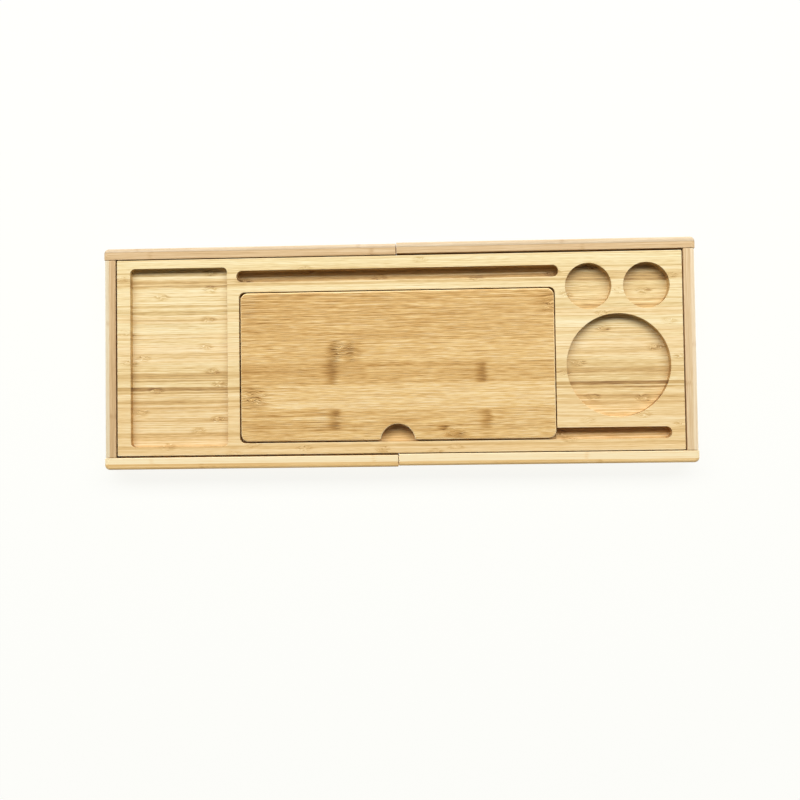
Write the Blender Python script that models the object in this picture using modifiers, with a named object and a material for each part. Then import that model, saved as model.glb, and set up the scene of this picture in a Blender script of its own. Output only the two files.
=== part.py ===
"""Expandable bath tray in bamboo, modelled closed.

A routed centre board slides on tongues inside two U-shaped frames, which pull out to the left and
to the right to span a tub. A loose panel lies in a well in the board, and stands in the back slot
as a rest for a book. Metres, +X right, +Y back, +Z up. The origin is at the centre of the
footprint, on the surface that the tray stands on.
"""

import math

import bmesh
import bpy
from mathutils import Vector

# Frames, closed
TRAY_LENGTH = 0.610
FRAME_WIDTH = 0.230
RAIL_THICKNESS = 0.012
RAIL_HEIGHT = 0.020
RAIL_ROUNDING = 0.005
END_RAIL_SETBACK = 0.0008
SEAM_GAP = 0.0006
FRAME_SIDE_PLAY = 0.0005

# Clearances
JOINT_GAP = 0.0003
BOARD_GAP = 0.0012
EASING = 0.0007

# Board
BOARD_THICKNESS = 0.018
BOARD_CORNER = 0.0012

# Side pocket at the left end of the board
SIDE_POCKET_LENGTH = 0.1014
SIDE_POCKET_DEPTH = 0.006
SIDE_POCKET_CORNER = 0.005
SIDE_POCKET_END_MARGIN = 0.0142
SIDE_POCKET_EDGE_MARGIN = 0.0092

# Cup recess and the two candle recesses at the right end of the board
CUP_DIAMETER = 0.1055
CUP_DEPTH = 0.0068
CUP_END_MARGIN = 0.0131
CANDLE_DIAMETER = 0.047
CANDLE_DEPTH = 0.0078
CANDLE_SPACING = 0.0588
CANDLE_EDGE_MARGIN = 0.0119
CANDLE_TO_CUP = 0.0049

# Book slot along the back of the board
BOOK_SLOT_WIDTH = 0.012
BOOK_SLOT_DEPTH = 0.0085
BOOK_SLOT_EDGE_MARGIN = 0.0131
BOOK_SLOT_TO_POCKET = 0.0098
BOOK_SLOT_TO_CUP = 0.0067

# Well for the loose panel, in the middle of the board
WELL_CORNER = 0.006
WELL_EDGE_MARGIN = 0.01205
WELL_TO_BOOK_SLOT = 0.0105
WELL_TO_POCKET = 0.0122
WELL_TO_CUP = 0.0105

# Phone slot, from the well to the right
PHONE_SLOT_WIDTH = 0.0118
PHONE_SLOT_DEPTH = 0.008
PHONE_SLOT_END_MARGIN = 0.0137
PHONE_SLOT_STEP = 0.0002

# Loose panel
PANEL_THICKNESS = 0.008
PANEL_SINK = 0.0002
PANEL_CLEARANCE = 0.0007
PANEL_CORNER = 0.008
NOTCH_RADIUS = 0.0172
NOTCH_DEPTH = 0.0164
NOTCH_FILLET = 0.003

# Tongue and groove
GROOVE_HEIGHT = 0.0055
GROOVE_DEPTH = 0.0085
GROOVE_RISE = 0.0045
TONGUE_TIP_CLEARANCE = 0.0006
TONGUE_HEAD_LENGTH = 0.030
TONGUE_END_RELIEF = 0.0022

# Stop screws
SCREW_DIAMETER = 0.003
SCREW_HEAD_DIAMETER = 0.006
SCREW_HEAD_HEIGHT = 0.002
SCREW_BITE = 0.0025
SCREW_POINT = 0.0012
SCREW_TO_GROOVE_END = 0.0011
SCREW_END_MARGIN = 0.0889
DRIVE_SPAN = 0.0034
DRIVE_WIDTH = 0.0008
DRIVE_DEPTH = 0.0011

# Corner dowels
DOWEL_DIAMETER = 0.005
DOWEL_SPACING = 0.008
DOWEL_IN_END_RAIL = 0.020
DOWEL_COVER = 0.004
DOWEL_CHAMFER = 0.0006

# Silicone grips under the long rails
GRIP_LENGTH = 0.090
GRIP_WIDTH = 0.007
GRIP_PROUD = 0.002
GRIP_GROOVE_DEPTH = 0.001
GRIP_EDGE = 0.0005
GRIP_END_MARGIN = 0.014

# How finely round shapes are cut
CORNER_STEPS = 6
ROUNDING_STEPS = 6
RECESS_STEPS = 80
HOLE_STEPS = 20
OVERSHOOT = 0.001

# Heights above the surface that the tray stands on
RAIL_BOTTOM = GRIP_PROUD
RAIL_TOP = RAIL_BOTTOM + RAIL_HEIGHT
RAIL_MIDDLE = (RAIL_BOTTOM + RAIL_TOP) / 2
BOARD_TOP = RAIL_TOP
BOARD_BOTTOM = BOARD_TOP - BOARD_THICKNESS
GROOVE_BOTTOM = BOARD_BOTTOM + GROOVE_RISE
GROOVE_TOP = GROOVE_BOTTOM + GROOVE_HEIGHT

# Planes of the rails and of the board, measured from the middle
FRAME_HALF_WIDTH = FRAME_WIDTH / 2
RAIL_INNER_Y = FRAME_HALF_WIDTH - RAIL_THICKNESS
END_RAIL_OUTER_X = TRAY_LENGTH / 2 - END_RAIL_SETBACK
END_RAIL_INNER_X = END_RAIL_OUTER_X - RAIL_THICKNESS
BOARD_HALF_LENGTH = END_RAIL_INNER_X - BOARD_GAP
BOARD_HALF_WIDTH = RAIL_INNER_Y - BOARD_GAP

# Recesses at the two ends of the board
POCKET_LEFT_X = -BOARD_HALF_LENGTH + SIDE_POCKET_END_MARGIN
POCKET_RIGHT_X = POCKET_LEFT_X + SIDE_POCKET_LENGTH
POCKET_HALF_WIDTH = BOARD_HALF_WIDTH - SIDE_POCKET_EDGE_MARGIN
CUP_RADIUS = CUP_DIAMETER / 2
CUP_X = BOARD_HALF_LENGTH - CUP_END_MARGIN - CUP_RADIUS
CUP_LEFT_X = CUP_X - CUP_RADIUS
CANDLE_RADIUS = CANDLE_DIAMETER / 2
CANDLE_Y = BOARD_HALF_WIDTH - CANDLE_EDGE_MARGIN - CANDLE_RADIUS
CUP_Y = CANDLE_Y - CANDLE_RADIUS - CANDLE_TO_CUP - CUP_RADIUS

# Slot, well and phone slot between them
SLOT_LEFT_X = POCKET_RIGHT_X + BOOK_SLOT_TO_POCKET
SLOT_RIGHT_X = CUP_LEFT_X - BOOK_SLOT_TO_CUP
SLOT_BACK_Y = BOARD_HALF_WIDTH - BOOK_SLOT_EDGE_MARGIN
SLOT_FRONT_Y = SLOT_BACK_Y - BOOK_SLOT_WIDTH
WELL_LEFT_X = POCKET_RIGHT_X + WELL_TO_POCKET
WELL_RIGHT_X = CUP_LEFT_X - WELL_TO_CUP
WELL_BACK_Y = SLOT_FRONT_Y - WELL_TO_BOOK_SLOT
WELL_FRONT_Y = -BOARD_HALF_WIDTH + WELL_EDGE_MARGIN
WELL_DEPTH = PANEL_SINK + PANEL_THICKNESS + JOINT_GAP
PHONE_SLOT_FRONT_Y = WELL_FRONT_Y + PHONE_SLOT_STEP
PHONE_SLOT_RIGHT_X = BOARD_HALF_LENGTH - PHONE_SLOT_END_MARGIN

# Tongue, and the screw that stops its head when the frame is 170 mm out
SCREW_RADIUS = SCREW_DIAMETER / 2
GROOVE_END_Y = BOARD_HALF_WIDTH - GROOVE_DEPTH
SCREW_Y = GROOVE_END_Y + SCREW_TO_GROOVE_END + SCREW_RADIUS
TONGUE_TIP_Y = GROOVE_END_Y + FRAME_SIDE_PLAY + TONGUE_TIP_CLEARANCE
TONGUE_RELIEVED_Y = SCREW_Y + SCREW_RADIUS + FRAME_SIDE_PLAY + JOINT_GAP
TONGUE_INNER_X = SEAM_GAP / 2
TONGUE_HEAD_X = TONGUE_INNER_X + TONGUE_HEAD_LENGTH
SCREW_X = BOARD_HALF_LENGTH - SCREW_END_MARGIN
TONGUE_RELIEF_X = SCREW_X + SCREW_RADIUS + OVERSHOOT
TONGUE_OUTER_X = END_RAIL_INNER_X - TONGUE_END_RELIEF

FINISHES = {
    "side_pressed_bamboo": ("#F3D8A0", 0.45, 0.0),
    "flat_pressed_bamboo": ("#E2B878", 0.42, 0.0),
    "rail_bamboo": ("#ECCB95", 0.45, 0.0),
    "beech_dowel": ("#D9B58A", 0.6, 0.0),
    "zinc_plated_steel": ("#C9CBCC", 0.3, 1.0),
    "clear_silicone": ("#E6E4DE", 0.5, 0.0),
}


def new_collection(name):
    """Adds a collection to the scene."""
    collection = bpy.data.collections.new(name)
    bpy.context.scene.collection.children.link(collection)
    return collection


def move_to(obj, collection):
    """Takes an object out of its collections and puts it into this one."""
    for old in list(obj.users_collection):
        old.objects.unlink(obj)
    collection.objects.link(obj)


def linear(channel):
    """Turns one sRGB channel from 0 to 1 into linear light."""
    if channel <= 0.04045:
        return channel / 12.92
    return ((channel + 0.055) / 1.055) ** 2.4


def make_material(name):
    """Makes the Principled material of one finish."""
    colour, roughness, metallic = FINISHES[name]
    channels = [linear(int(colour[i : i + 2], 16) / 255) for i in (1, 3, 5)]
    material = bpy.data.materials.new(name)
    material.use_nodes = True
    shader = material.node_tree.nodes["Principled BSDF"]
    shader.inputs["Base Color"].default_value = (*channels, 1.0)
    shader.inputs["Roughness"].default_value = roughness
    shader.inputs["Metallic"].default_value = metallic
    material.diffuse_color = (*channels, 1.0)
    return material


class Workshop:
    """The collections and materials that every piece is made with."""

    def __init__(self):
        self.parts = new_collection("bathtub_tray")
        self.cutters = new_collection("bathtub_tray_cutters")
        self.cutters.hide_render = True
        self.materials = {name: make_material(name) for name in FINISHES}

    def finish(self, obj, material):
        """Fixes a piece's modifiers into its mesh, shades its round faces smooth and colours it."""
        bpy.context.view_layer.update()
        graph = bpy.context.evaluated_depsgraph_get()
        mesh = bpy.data.meshes.new_from_object(obj.evaluated_get(graph))
        obj.modifiers.clear()
        obj.data = mesh
        mesh.name = obj.name
        mesh.materials.clear()
        mesh.materials.append(self.materials[material])
        mesh.polygons.foreach_set("material_index", [0] * len(mesh.polygons))
        mesh.shade_smooth()
        mesh.set_sharp_from_angle(angle=math.radians(30))
        move_to(obj, self.parts)
        return obj

    def combine(self, obj, tool, operation, parent=None):
        """Cuts a tool out of a piece, or joins it on, and keeps the tool as a wire guide."""
        move_to(tool, self.cutters)
        tool.hide_render = True
        tool.display_type = "WIRE"
        if parent:
            tool.parent = parent
        modifier = obj.modifiers.new(tool.name, "BOOLEAN")
        modifier.operation = operation
        modifier.solver = "EXACT"
        modifier.object = tool

    def copy(self, obj, name):
        """Makes a second object of the same mesh."""
        twin = bpy.data.objects.new(name, obj.data)
        self.parts.objects.link(twin)
        return twin


def make_box(name, low, high):
    """Makes a box between two corners, with its origin at its centre and its scale applied."""
    centre = [(a + b) / 2 for a, b in zip(low, high)]
    bpy.ops.mesh.primitive_cube_add(size=1, location=centre)
    box = bpy.context.object
    box.name = name
    box.scale = [b - a for a, b in zip(low, high)]
    bpy.ops.object.transform_apply(location=False, rotation=False, scale=True)
    return box


def round_edges(obj, radius, steps, wanted):
    """Rounds each edge of a mesh for which wanted holds."""
    bm = bmesh.new()
    bm.from_mesh(obj.data)
    bmesh.ops.bevel(
        bm,
        geom=[edge for edge in bm.edges if wanted(edge)],
        offset=radius,
        offset_type="OFFSET",
        segments=steps,
        profile=0.5,
        affect="EDGES",
    )
    bm.to_mesh(obj.data)
    bm.free()


def edge_middle(edge):
    """Gives the middle point of an edge."""
    return (edge.verts[0].co + edge.verts[1].co) / 2


def is_square_edge(edge):
    """Says whether two faces meet squarely at an edge."""
    return edge.calc_face_angle(0) > math.radians(60)


def arc_points(centre_x, centre_y, radius, start, end, steps=CORNER_STEPS):
    """Gives the points of an arc between two angles in degrees, both ends included."""
    points = []
    for i in range(steps + 1):
        angle = math.radians(start + (end - start) * i / steps)
        points.append((centre_x + radius * math.cos(angle), centre_y + radius * math.sin(angle)))
    return points


def rounded_outline(left, right, front, back, radius, grow=0.0):
    """Gives a rectangle with round corners, anticlockwise, grown outwards on all sides."""
    x0, x1 = left + radius, right - radius
    y0, y1 = front + radius, back - radius
    r = radius + grow
    return (
        arc_points(x1, y0, r, -90, 0)
        + arc_points(x1, y1, r, 0, 90)
        + arc_points(x0, y1, r, 90, 180)
        + arc_points(x0, y0, r, 180, 270)
    )


def make_plate(name, outline, low, high, edge=0.0):
    """Makes a flat plate of an outline, with its edges rounded by edge, as a closed mesh."""
    curve = bpy.data.curves.new(name, "CURVE")
    curve.dimensions = "2D"
    curve.fill_mode = "BOTH"
    curve.extrude = (high - low) / 2 - edge
    curve.bevel_depth = edge
    curve.bevel_resolution = 1
    curve.offset = -edge
    spline = curve.splines.new("POLY")
    spline.points.add(len(outline) - 1)
    for point, (x, y) in zip(spline.points, outline):
        point.co = (x, y, 0, 1)
    spline.use_cyclic_u = True
    drawn = bpy.data.objects.new(name + "_outline", curve)
    bpy.context.scene.collection.objects.link(drawn)
    drawn.location = (0, 0, (low + high) / 2)
    bpy.context.view_layer.update()
    graph = bpy.context.evaluated_depsgraph_get()
    mesh = bpy.data.meshes.new_from_object(drawn.evaluated_get(graph))
    bm = bmesh.new()
    bm.from_mesh(mesh)
    bmesh.ops.remove_doubles(bm, verts=bm.verts, dist=0.00001)
    bmesh.ops.recalc_face_normals(bm, faces=bm.faces)
    bm.to_mesh(mesh)
    bm.free()
    plate = bpy.data.objects.new(name, mesh)
    bpy.context.scene.collection.objects.link(plate)
    plate.matrix_world = drawn.matrix_world
    bpy.data.objects.remove(drawn)
    bpy.data.curves.remove(curve)
    return plate


def make_pocket_tool(name, left, right, front, back, radius, depth):
    """Makes the tool of a routed pocket, whose wall flares at the mouth to leave an eased edge."""
    flare = EASING + OVERSHOOT
    levels = ((-depth, 0.0), (-EASING, 0.0), (OVERSHOOT, flare))
    bm = bmesh.new()
    rings = []
    for height, grow in levels:
        outline = rounded_outline(left, right, front, back, radius, grow)
        rings.append([bm.verts.new((x, y, BOARD_TOP + height)) for x, y in outline])
    bm.faces.new(reversed(rings[0]))
    bm.faces.new(rings[-1])
    for lower, upper in zip(rings, rings[1:]):
        for i in range(len(lower)):
            j = (i + 1) % len(lower)
            bm.faces.new((lower[i], lower[j], upper[j], upper[i]))
    mesh = bpy.data.meshes.new(name)
    bm.to_mesh(mesh)
    bm.free()
    tool = bpy.data.objects.new(name, mesh)
    bpy.context.scene.collection.objects.link(tool)
    return tool


def make_turned(name, profile, steps):
    """Turns a profile of radius and height, listed from its top down, about the vertical."""
    mesh = bpy.data.meshes.new(name)
    points = [(radius, 0, height) for radius, height in profile]
    edges = [(i, i + 1) for i in range(len(points) - 1)]
    mesh.from_pydata(points, edges, [])
    turned = bpy.data.objects.new(name, mesh)
    bpy.context.scene.collection.objects.link(turned)
    screw = turned.modifiers.new("turn", "SCREW")
    screw.steps = steps
    screw.render_steps = steps
    screw.use_merge_vertices = True
    screw.merge_threshold = 0.00001
    return turned


def make_recess_tool(name, x, y, radius, depth):
    """Makes the tool of a round recess with an eased mouth."""
    profile = (
        (0, OVERSHOOT),
        (radius + EASING + OVERSHOOT, OVERSHOOT),
        (radius, -EASING),
        (radius, -depth),
        (0, -depth),
    )
    tool = make_turned(name, profile, RECESS_STEPS)
    tool.location = (x, y, BOARD_TOP)
    return tool


def cut_recesses(shop, board):
    """Routs the pocket, the slots, the well and the round recesses into the top of the board."""
    pockets = {
        "side_pocket_tool": (
            POCKET_LEFT_X,
            POCKET_RIGHT_X,
            -POCKET_HALF_WIDTH,
            POCKET_HALF_WIDTH,
            SIDE_POCKET_CORNER,
            SIDE_POCKET_DEPTH,
        ),
        "book_slot_tool": (
            SLOT_LEFT_X,
            SLOT_RIGHT_X,
            SLOT_FRONT_Y,
            SLOT_BACK_Y,
            BOOK_SLOT_WIDTH / 2,
            BOOK_SLOT_DEPTH,
        ),
        "panel_well_tool": (
            WELL_LEFT_X,
            WELL_RIGHT_X,
            WELL_FRONT_Y,
            WELL_BACK_Y,
            WELL_CORNER,
            WELL_DEPTH,
        ),
        "phone_slot_tool": (
            WELL_RIGHT_X - 2 * PHONE_SLOT_WIDTH,
            PHONE_SLOT_RIGHT_X,
            PHONE_SLOT_FRONT_Y,
            PHONE_SLOT_FRONT_Y + PHONE_SLOT_WIDTH,
            PHONE_SLOT_WIDTH / 2,
            PHONE_SLOT_DEPTH,
        ),
    }
    for name, sizes in pockets.items():
        shop.combine(board, make_pocket_tool(name, *sizes), "DIFFERENCE")
    recesses = {
        "cup_recess_tool": (CUP_X, CUP_Y, CUP_RADIUS, CUP_DEPTH),
        "left_candle_tool": (CUP_X - CANDLE_SPACING / 2, CANDLE_Y, CANDLE_RADIUS, CANDLE_DEPTH),
        "right_candle_tool": (CUP_X + CANDLE_SPACING / 2, CANDLE_Y, CANDLE_RADIUS, CANDLE_DEPTH),
    }
    for name, sizes in recesses.items():
        shop.combine(board, make_recess_tool(name, *sizes), "DIFFERENCE")


def cut_grooves(shop, board):
    """Cuts the groove for the tongues along the front and the back edge of the board."""
    for name, sign in (("front", -1), ("back", 1)):
        edge = sign * (BOARD_HALF_WIDTH + OVERSHOOT)
        end = sign * GROOVE_END_Y
        reach = BOARD_HALF_LENGTH + OVERSHOOT
        low = (-reach, min(edge, end), GROOVE_BOTTOM)
        high = (reach, max(edge, end), GROOVE_TOP)
        shop.combine(board, make_box(name + "_groove_tool", low, high), "DIFFERENCE")


def screw_places():
    """Lists each stop screw's side names with the place of its axis."""
    places = []
    for side, x in (("left", -SCREW_X), ("right", SCREW_X)):
        for edge, y in (("front", -SCREW_Y), ("back", SCREW_Y)):
            places.append((side, edge, x, y))
    return places


def cut_screw_holes(shop, board):
    """Bores the counterbored hole of each stop screw from below, across the groove."""
    head = SCREW_HEAD_DIAMETER / 2 + JOINT_GAP
    shank = SCREW_RADIUS + JOINT_GAP
    counterbore = BOARD_BOTTOM + SCREW_HEAD_HEIGHT + 2 * JOINT_GAP
    profile = (
        (0, GROOVE_TOP + SCREW_BITE + JOINT_GAP),
        (shank, GROOVE_TOP + SCREW_BITE + JOINT_GAP),
        (shank, counterbore),
        (head, counterbore),
        (head, BOARD_BOTTOM - OVERSHOOT),
        (0, BOARD_BOTTOM - OVERSHOOT),
    )
    for side, edge, x, y in screw_places():
        tool = make_turned(f"{side}_{edge}_screw_tool", profile, HOLE_STEPS)
        tool.location = (x, y, 0)
        shop.combine(board, tool, "DIFFERENCE")


def build_board(shop):
    """Builds the centre board with its recesses, edge grooves and screw holes."""
    low = (-BOARD_HALF_LENGTH, -BOARD_HALF_WIDTH, BOARD_BOTTOM)
    high = (BOARD_HALF_LENGTH, BOARD_HALF_WIDTH, BOARD_TOP)
    board = make_box("tray_board", low, high)
    round_edges(board, BOARD_CORNER, 3, lambda edge: abs(edge_middle(edge).z) < OVERSHOOT)
    round_edges(board, EASING, 2, is_square_edge)
    cut_recesses(shop, board)
    cut_grooves(shop, board)
    cut_screw_holes(shop, board)
    return shop.finish(board, "side_pressed_bamboo")


def build_panel(shop):
    """Builds the loose panel, with round corners and a finger notch in its front edge."""
    left = WELL_LEFT_X + PANEL_CLEARANCE
    right = WELL_RIGHT_X - PANEL_CLEARANCE
    front = WELL_FRONT_Y + PANEL_CLEARANCE
    back = WELL_BACK_Y - PANEL_CLEARANCE
    middle = (left + right) / 2
    notch_y = front - (NOTCH_RADIUS - NOTCH_DEPTH)
    fillet_y = front + NOTCH_FILLET
    reach = NOTCH_RADIUS + NOTCH_FILLET
    fillet_x = math.sqrt(reach**2 - (fillet_y - notch_y) ** 2)
    turn = math.degrees(math.asin((fillet_y - notch_y) / reach))
    mouth_left = arc_points(middle - fillet_x, fillet_y, NOTCH_FILLET, -90, -turn)
    notch = arc_points(middle, notch_y, NOTCH_RADIUS, 180 - turn, turn, 4 * CORNER_STEPS)
    mouth_right = arc_points(middle + fillet_x, fillet_y, NOTCH_FILLET, 180 + turn, 270)
    outline = mouth_left + notch[1:-1] + mouth_right
    outline += rounded_outline(left, right, front, back, PANEL_CORNER)
    top = BOARD_TOP - PANEL_SINK
    panel = make_plate("book_rest_panel", outline, top - PANEL_THICKNESS, top, EASING)
    return shop.finish(panel, "flat_pressed_bamboo")


def build_screws(shop):
    """Builds the stop screws, pan headed with a cross drive, heads down."""
    head = SCREW_HEAD_DIAMETER / 2
    under_head = BOARD_BOTTOM + JOINT_GAP + SCREW_HEAD_HEIGHT
    tip = GROOVE_TOP + SCREW_BITE
    face = BOARD_BOTTOM + JOINT_GAP
    profile = [
        (0, tip),
        (SCREW_RADIUS, tip - SCREW_POINT),
        (SCREW_RADIUS, under_head),
        (head, under_head),
    ]
    dome = SCREW_HEAD_HEIGHT / 2
    for x, y in arc_points(head - dome, 0, dome, 0, 90, 4):
        profile.append((x, face + dome - y))
    profile.append((0, face))
    mesh = None
    for side, edge, x, y in screw_places():
        name = f"{side}_{edge}_stop_screw"
        if mesh:
            screw = shop.copy(mesh, name)
            screw.location = (x, y, 0)
            continue
        screw = make_turned(name, profile, HOLE_STEPS)
        screw.location = (x, y, 0)
        for tag, half_x, half_y in (
            ("cross", DRIVE_SPAN / 2, DRIVE_WIDTH / 2),
            ("along", DRIVE_WIDTH / 2, DRIVE_SPAN / 2),
        ):
            low = (x - half_x, y - half_y, face - OVERSHOOT)
            high = (x + half_x, y + half_y, face + DRIVE_DEPTH)
            shop.combine(screw, make_box(f"drive_{tag}_tool", low, high), "DIFFERENCE")
        mesh = shop.finish(screw, "zinc_plated_steel")


def cut_tongue(shop, rail, frame, name, sign):
    """Joins a tongue onto the inner face of a long rail, cut back where it passes the screw."""
    root = sign * (RAIL_INNER_Y + OVERSHOOT)
    tip = sign * TONGUE_TIP_Y
    relieved = sign * TONGUE_RELIEVED_Y
    outline = [
        (TONGUE_INNER_X, root),
        (TONGUE_INNER_X, tip),
        (TONGUE_HEAD_X, tip),
        (TONGUE_HEAD_X, relieved),
        (TONGUE_RELIEF_X, relieved),
        (TONGUE_RELIEF_X, tip),
        (TONGUE_OUTER_X, tip),
        (TONGUE_OUTER_X, root),
    ]
    low = GROOVE_BOTTOM + JOINT_GAP
    high = GROOVE_TOP - JOINT_GAP
    tongue = make_plate(name + "_tongue", outline, low, high)
    shop.combine(rail, tongue, "UNION", frame)


def dowel_heights():
    """Gives the names and heights of the two dowels in a corner."""
    return (
        ("lower", RAIL_MIDDLE - DOWEL_SPACING / 2),
        ("upper", RAIL_MIDDLE + DOWEL_SPACING / 2),
    )


def dowel_span():
    """Gives where a corner's dowels start in the end rail and end in the long rail."""
    start = RAIL_INNER_Y - JOINT_GAP - DOWEL_IN_END_RAIL
    end = FRAME_HALF_WIDTH - DOWEL_COVER
    return start, end


def make_rod(name, x, start, end, z, radius, steps):
    """Makes a round rod along Y."""
    bpy.ops.mesh.primitive_cylinder_add(
        vertices=steps,
        radius=radius,
        depth=abs(end - start),
        location=(x, (start + end) / 2, z),
        rotation=(math.pi / 2, 0, 0),
    )
    rod = bpy.context.object
    rod.name = name
    return rod


def cut_dowel_holes(shop, rail, frame, name, sign):
    """Bores the two dowel holes of one corner into a rail."""
    x = (END_RAIL_INNER_X + END_RAIL_OUTER_X) / 2
    start, end = dowel_span()
    for level, z in dowel_heights():
        hole = make_rod(
            f"{name}_{level}_dowel_tool",
            x,
            sign * (start - JOINT_GAP),
            sign * (end + JOINT_GAP),
            z,
            DOWEL_DIAMETER / 2 + JOINT_GAP,
            HOLE_STEPS,
        )
        shop.combine(rail, hole, "DIFFERENCE", frame)


def grip_outline(sign, grow=0.0):
    """Gives the outline of the grip under one long rail."""
    right = TRAY_LENGTH / 2 - GRIP_END_MARGIN
    middle = sign * (RAIL_INNER_Y + RAIL_THICKNESS / 2)
    half = GRIP_WIDTH / 2
    return rounded_outline(right - GRIP_LENGTH, right, middle - half, middle + half, half, grow)


def build_long_rail(shop, frame, name, sign):
    """Builds the front or back rail of the right frame: sign -1 is the front."""
    outer = sign * FRAME_HALF_WIDTH
    inner = sign * RAIL_INNER_Y
    low = (SEAM_GAP / 2, min(outer, inner), RAIL_BOTTOM)
    high = (TRAY_LENGTH / 2, max(outer, inner), RAIL_TOP)
    rail = make_box(name, low, high)
    half = [(b - a) / 2 for a, b in zip(low, high)]
    rounded = (
        (0, sign * half[1], half[2]),
        (half[0], 0, half[2]),
        (half[0], sign * half[1], 0),
    )
    round_edges(
        rail,
        RAIL_ROUNDING,
        ROUNDING_STEPS,
        lambda edge: any((edge_middle(edge) - Vector(p)).length < EASING for p in rounded),
    )
    round_edges(rail, EASING, 2, is_square_edge)
    rail.parent = frame
    cut_tongue(shop, rail, frame, name, sign)
    cut_dowel_holes(shop, rail, frame, name, sign)
    seat = make_plate(
        name + "_grip_tool",
        grip_outline(sign, JOINT_GAP),
        RAIL_BOTTOM - OVERSHOOT,
        RAIL_BOTTOM + GRIP_GROOVE_DEPTH,
    )
    shop.combine(rail, seat, "DIFFERENCE", frame)
    return shop.finish(rail, "rail_bamboo")


def build_end_rail(shop, frame, name):
    """Builds the end rail of the right frame, butted between the two long rails."""
    reach = RAIL_INNER_Y - JOINT_GAP
    low = (END_RAIL_INNER_X, -reach, RAIL_BOTTOM)
    high = (END_RAIL_OUTER_X, reach, RAIL_TOP)
    rail = make_box(name, low, high)
    top_outer = (RAIL_THICKNESS / 2, 0, RAIL_HEIGHT / 2)
    round_edges(
        rail,
        RAIL_ROUNDING,
        ROUNDING_STEPS,
        lambda edge: (edge_middle(edge) - Vector(top_outer)).length < EASING,
    )
    round_edges(rail, EASING, 2, is_square_edge)
    rail.parent = frame
    for corner, sign in (("front", -1), ("back", 1)):
        cut_dowel_holes(shop, rail, frame, f"{name}_{corner}", sign)
    return shop.finish(rail, "rail_bamboo")


def build_dowel(shop, frame, name, sign, z):
    """Builds one dowel, chamfered at both ends."""
    x = (END_RAIL_INNER_X + END_RAIL_OUTER_X) / 2
    start, end = dowel_span()
    dowel = make_rod(name, x, sign * start, sign * end, z, DOWEL_DIAMETER / 2, HOLE_STEPS)
    round_edges(dowel, DOWEL_CHAMFER, 1, is_square_edge)
    dowel.parent = frame
    return shop.finish(dowel, "beech_dowel")


def build_grip(shop, frame, name, sign):
    """Builds one silicone grip, let into the underside of a long rail."""
    high = RAIL_BOTTOM + GRIP_GROOVE_DEPTH - JOINT_GAP
    grip = make_plate(name, grip_outline(sign), 0, high, GRIP_EDGE)
    grip.parent = frame
    return shop.finish(grip, "clear_silicone")


def make_frame_origin(shop, name, turn, offset):
    """Makes the empty that carries one frame, on the axis that the frame slides along."""
    origin = bpy.data.objects.new(name, None)
    origin.location = (0, offset, 0)
    origin.rotation_euler = (0, 0, turn)
    shop.parts.objects.link(origin)
    return origin


def build_frames(shop):
    """Builds the right frame, and the left one as the same frame turned half round."""
    right = make_frame_origin(shop, "right_frame_slide", 0, FRAME_SIDE_PLAY)
    left = make_frame_origin(shop, "left_frame_slide", math.pi, -FRAME_SIDE_PLAY)
    pieces = [(build_end_rail(shop, right, "right_end_rail"), "left_end_rail")]
    for near, far, sign in (("front", "back", -1), ("back", "front", 1)):
        rail = build_long_rail(shop, right, f"right_{near}_rail", sign)
        pieces.append((rail, f"left_{far}_rail"))
        for level, z in dowel_heights():
            dowel = build_dowel(shop, right, f"right_{near}_{level}_dowel", sign, z)
            pieces.append((dowel, f"left_{far}_{level}_dowel"))
        grip = build_grip(shop, right, f"right_{near}_grip", sign)
        pieces.append((grip, f"left_{far}_grip"))
    for piece, twin_name in pieces:
        twin = shop.copy(piece, twin_name)
        twin.location = piece.location
        twin.rotation_euler = piece.rotation_euler
        twin.parent = left


def main():
    """Clears the scene and builds the tray."""
    for obj in list(bpy.data.objects):
        bpy.data.objects.remove(obj, do_unlink=True)
    shop = Workshop()
    build_board(shop)
    build_panel(shop)
    build_screws(shop)
    build_frames(shop)
    bpy.context.view_layer.update()


main()
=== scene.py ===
"""Bamboo bath tray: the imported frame, dressed with finer surfaces and wood finishes.

Shapes and patterns are worked out in millimetres, +X right, +Y back, +Z up, and a mesh is put into
the scene in metres. The origin is the middle of the footprint, on the surface the tray stands on.
"""

import logging
import math
from dataclasses import dataclass
from enum import Enum
from typing import Sequence

import bmesh
import bpy
import numpy as np
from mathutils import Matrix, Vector
from mathutils.geometry import tessellate_polygon


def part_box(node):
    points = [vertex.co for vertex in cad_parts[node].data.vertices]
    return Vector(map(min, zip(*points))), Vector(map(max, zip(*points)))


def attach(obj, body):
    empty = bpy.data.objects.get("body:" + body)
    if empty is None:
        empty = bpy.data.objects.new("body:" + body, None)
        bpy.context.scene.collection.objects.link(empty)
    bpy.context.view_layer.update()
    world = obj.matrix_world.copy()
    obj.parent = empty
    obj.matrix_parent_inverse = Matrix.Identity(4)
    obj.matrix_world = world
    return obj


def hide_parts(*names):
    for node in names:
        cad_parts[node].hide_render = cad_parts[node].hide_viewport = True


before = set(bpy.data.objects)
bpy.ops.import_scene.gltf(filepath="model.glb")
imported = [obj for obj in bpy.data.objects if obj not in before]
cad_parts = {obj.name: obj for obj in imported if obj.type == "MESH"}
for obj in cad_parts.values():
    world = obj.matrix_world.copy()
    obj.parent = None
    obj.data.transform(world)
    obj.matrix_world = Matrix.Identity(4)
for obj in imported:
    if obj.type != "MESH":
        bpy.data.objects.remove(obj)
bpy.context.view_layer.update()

TO_METRES = 0.001
TO_MILLIMETRES = 1000.0
# Steps in the quarter circle of a corner, and in a round recess
CORNER_STEPS = 16
CIRCLE_STEPS = 192

Socket = bpy.types.NodeSocket
Material = bpy.types.Material
Pair = tuple[float, float]
Triple = tuple[float, float, float]
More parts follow.
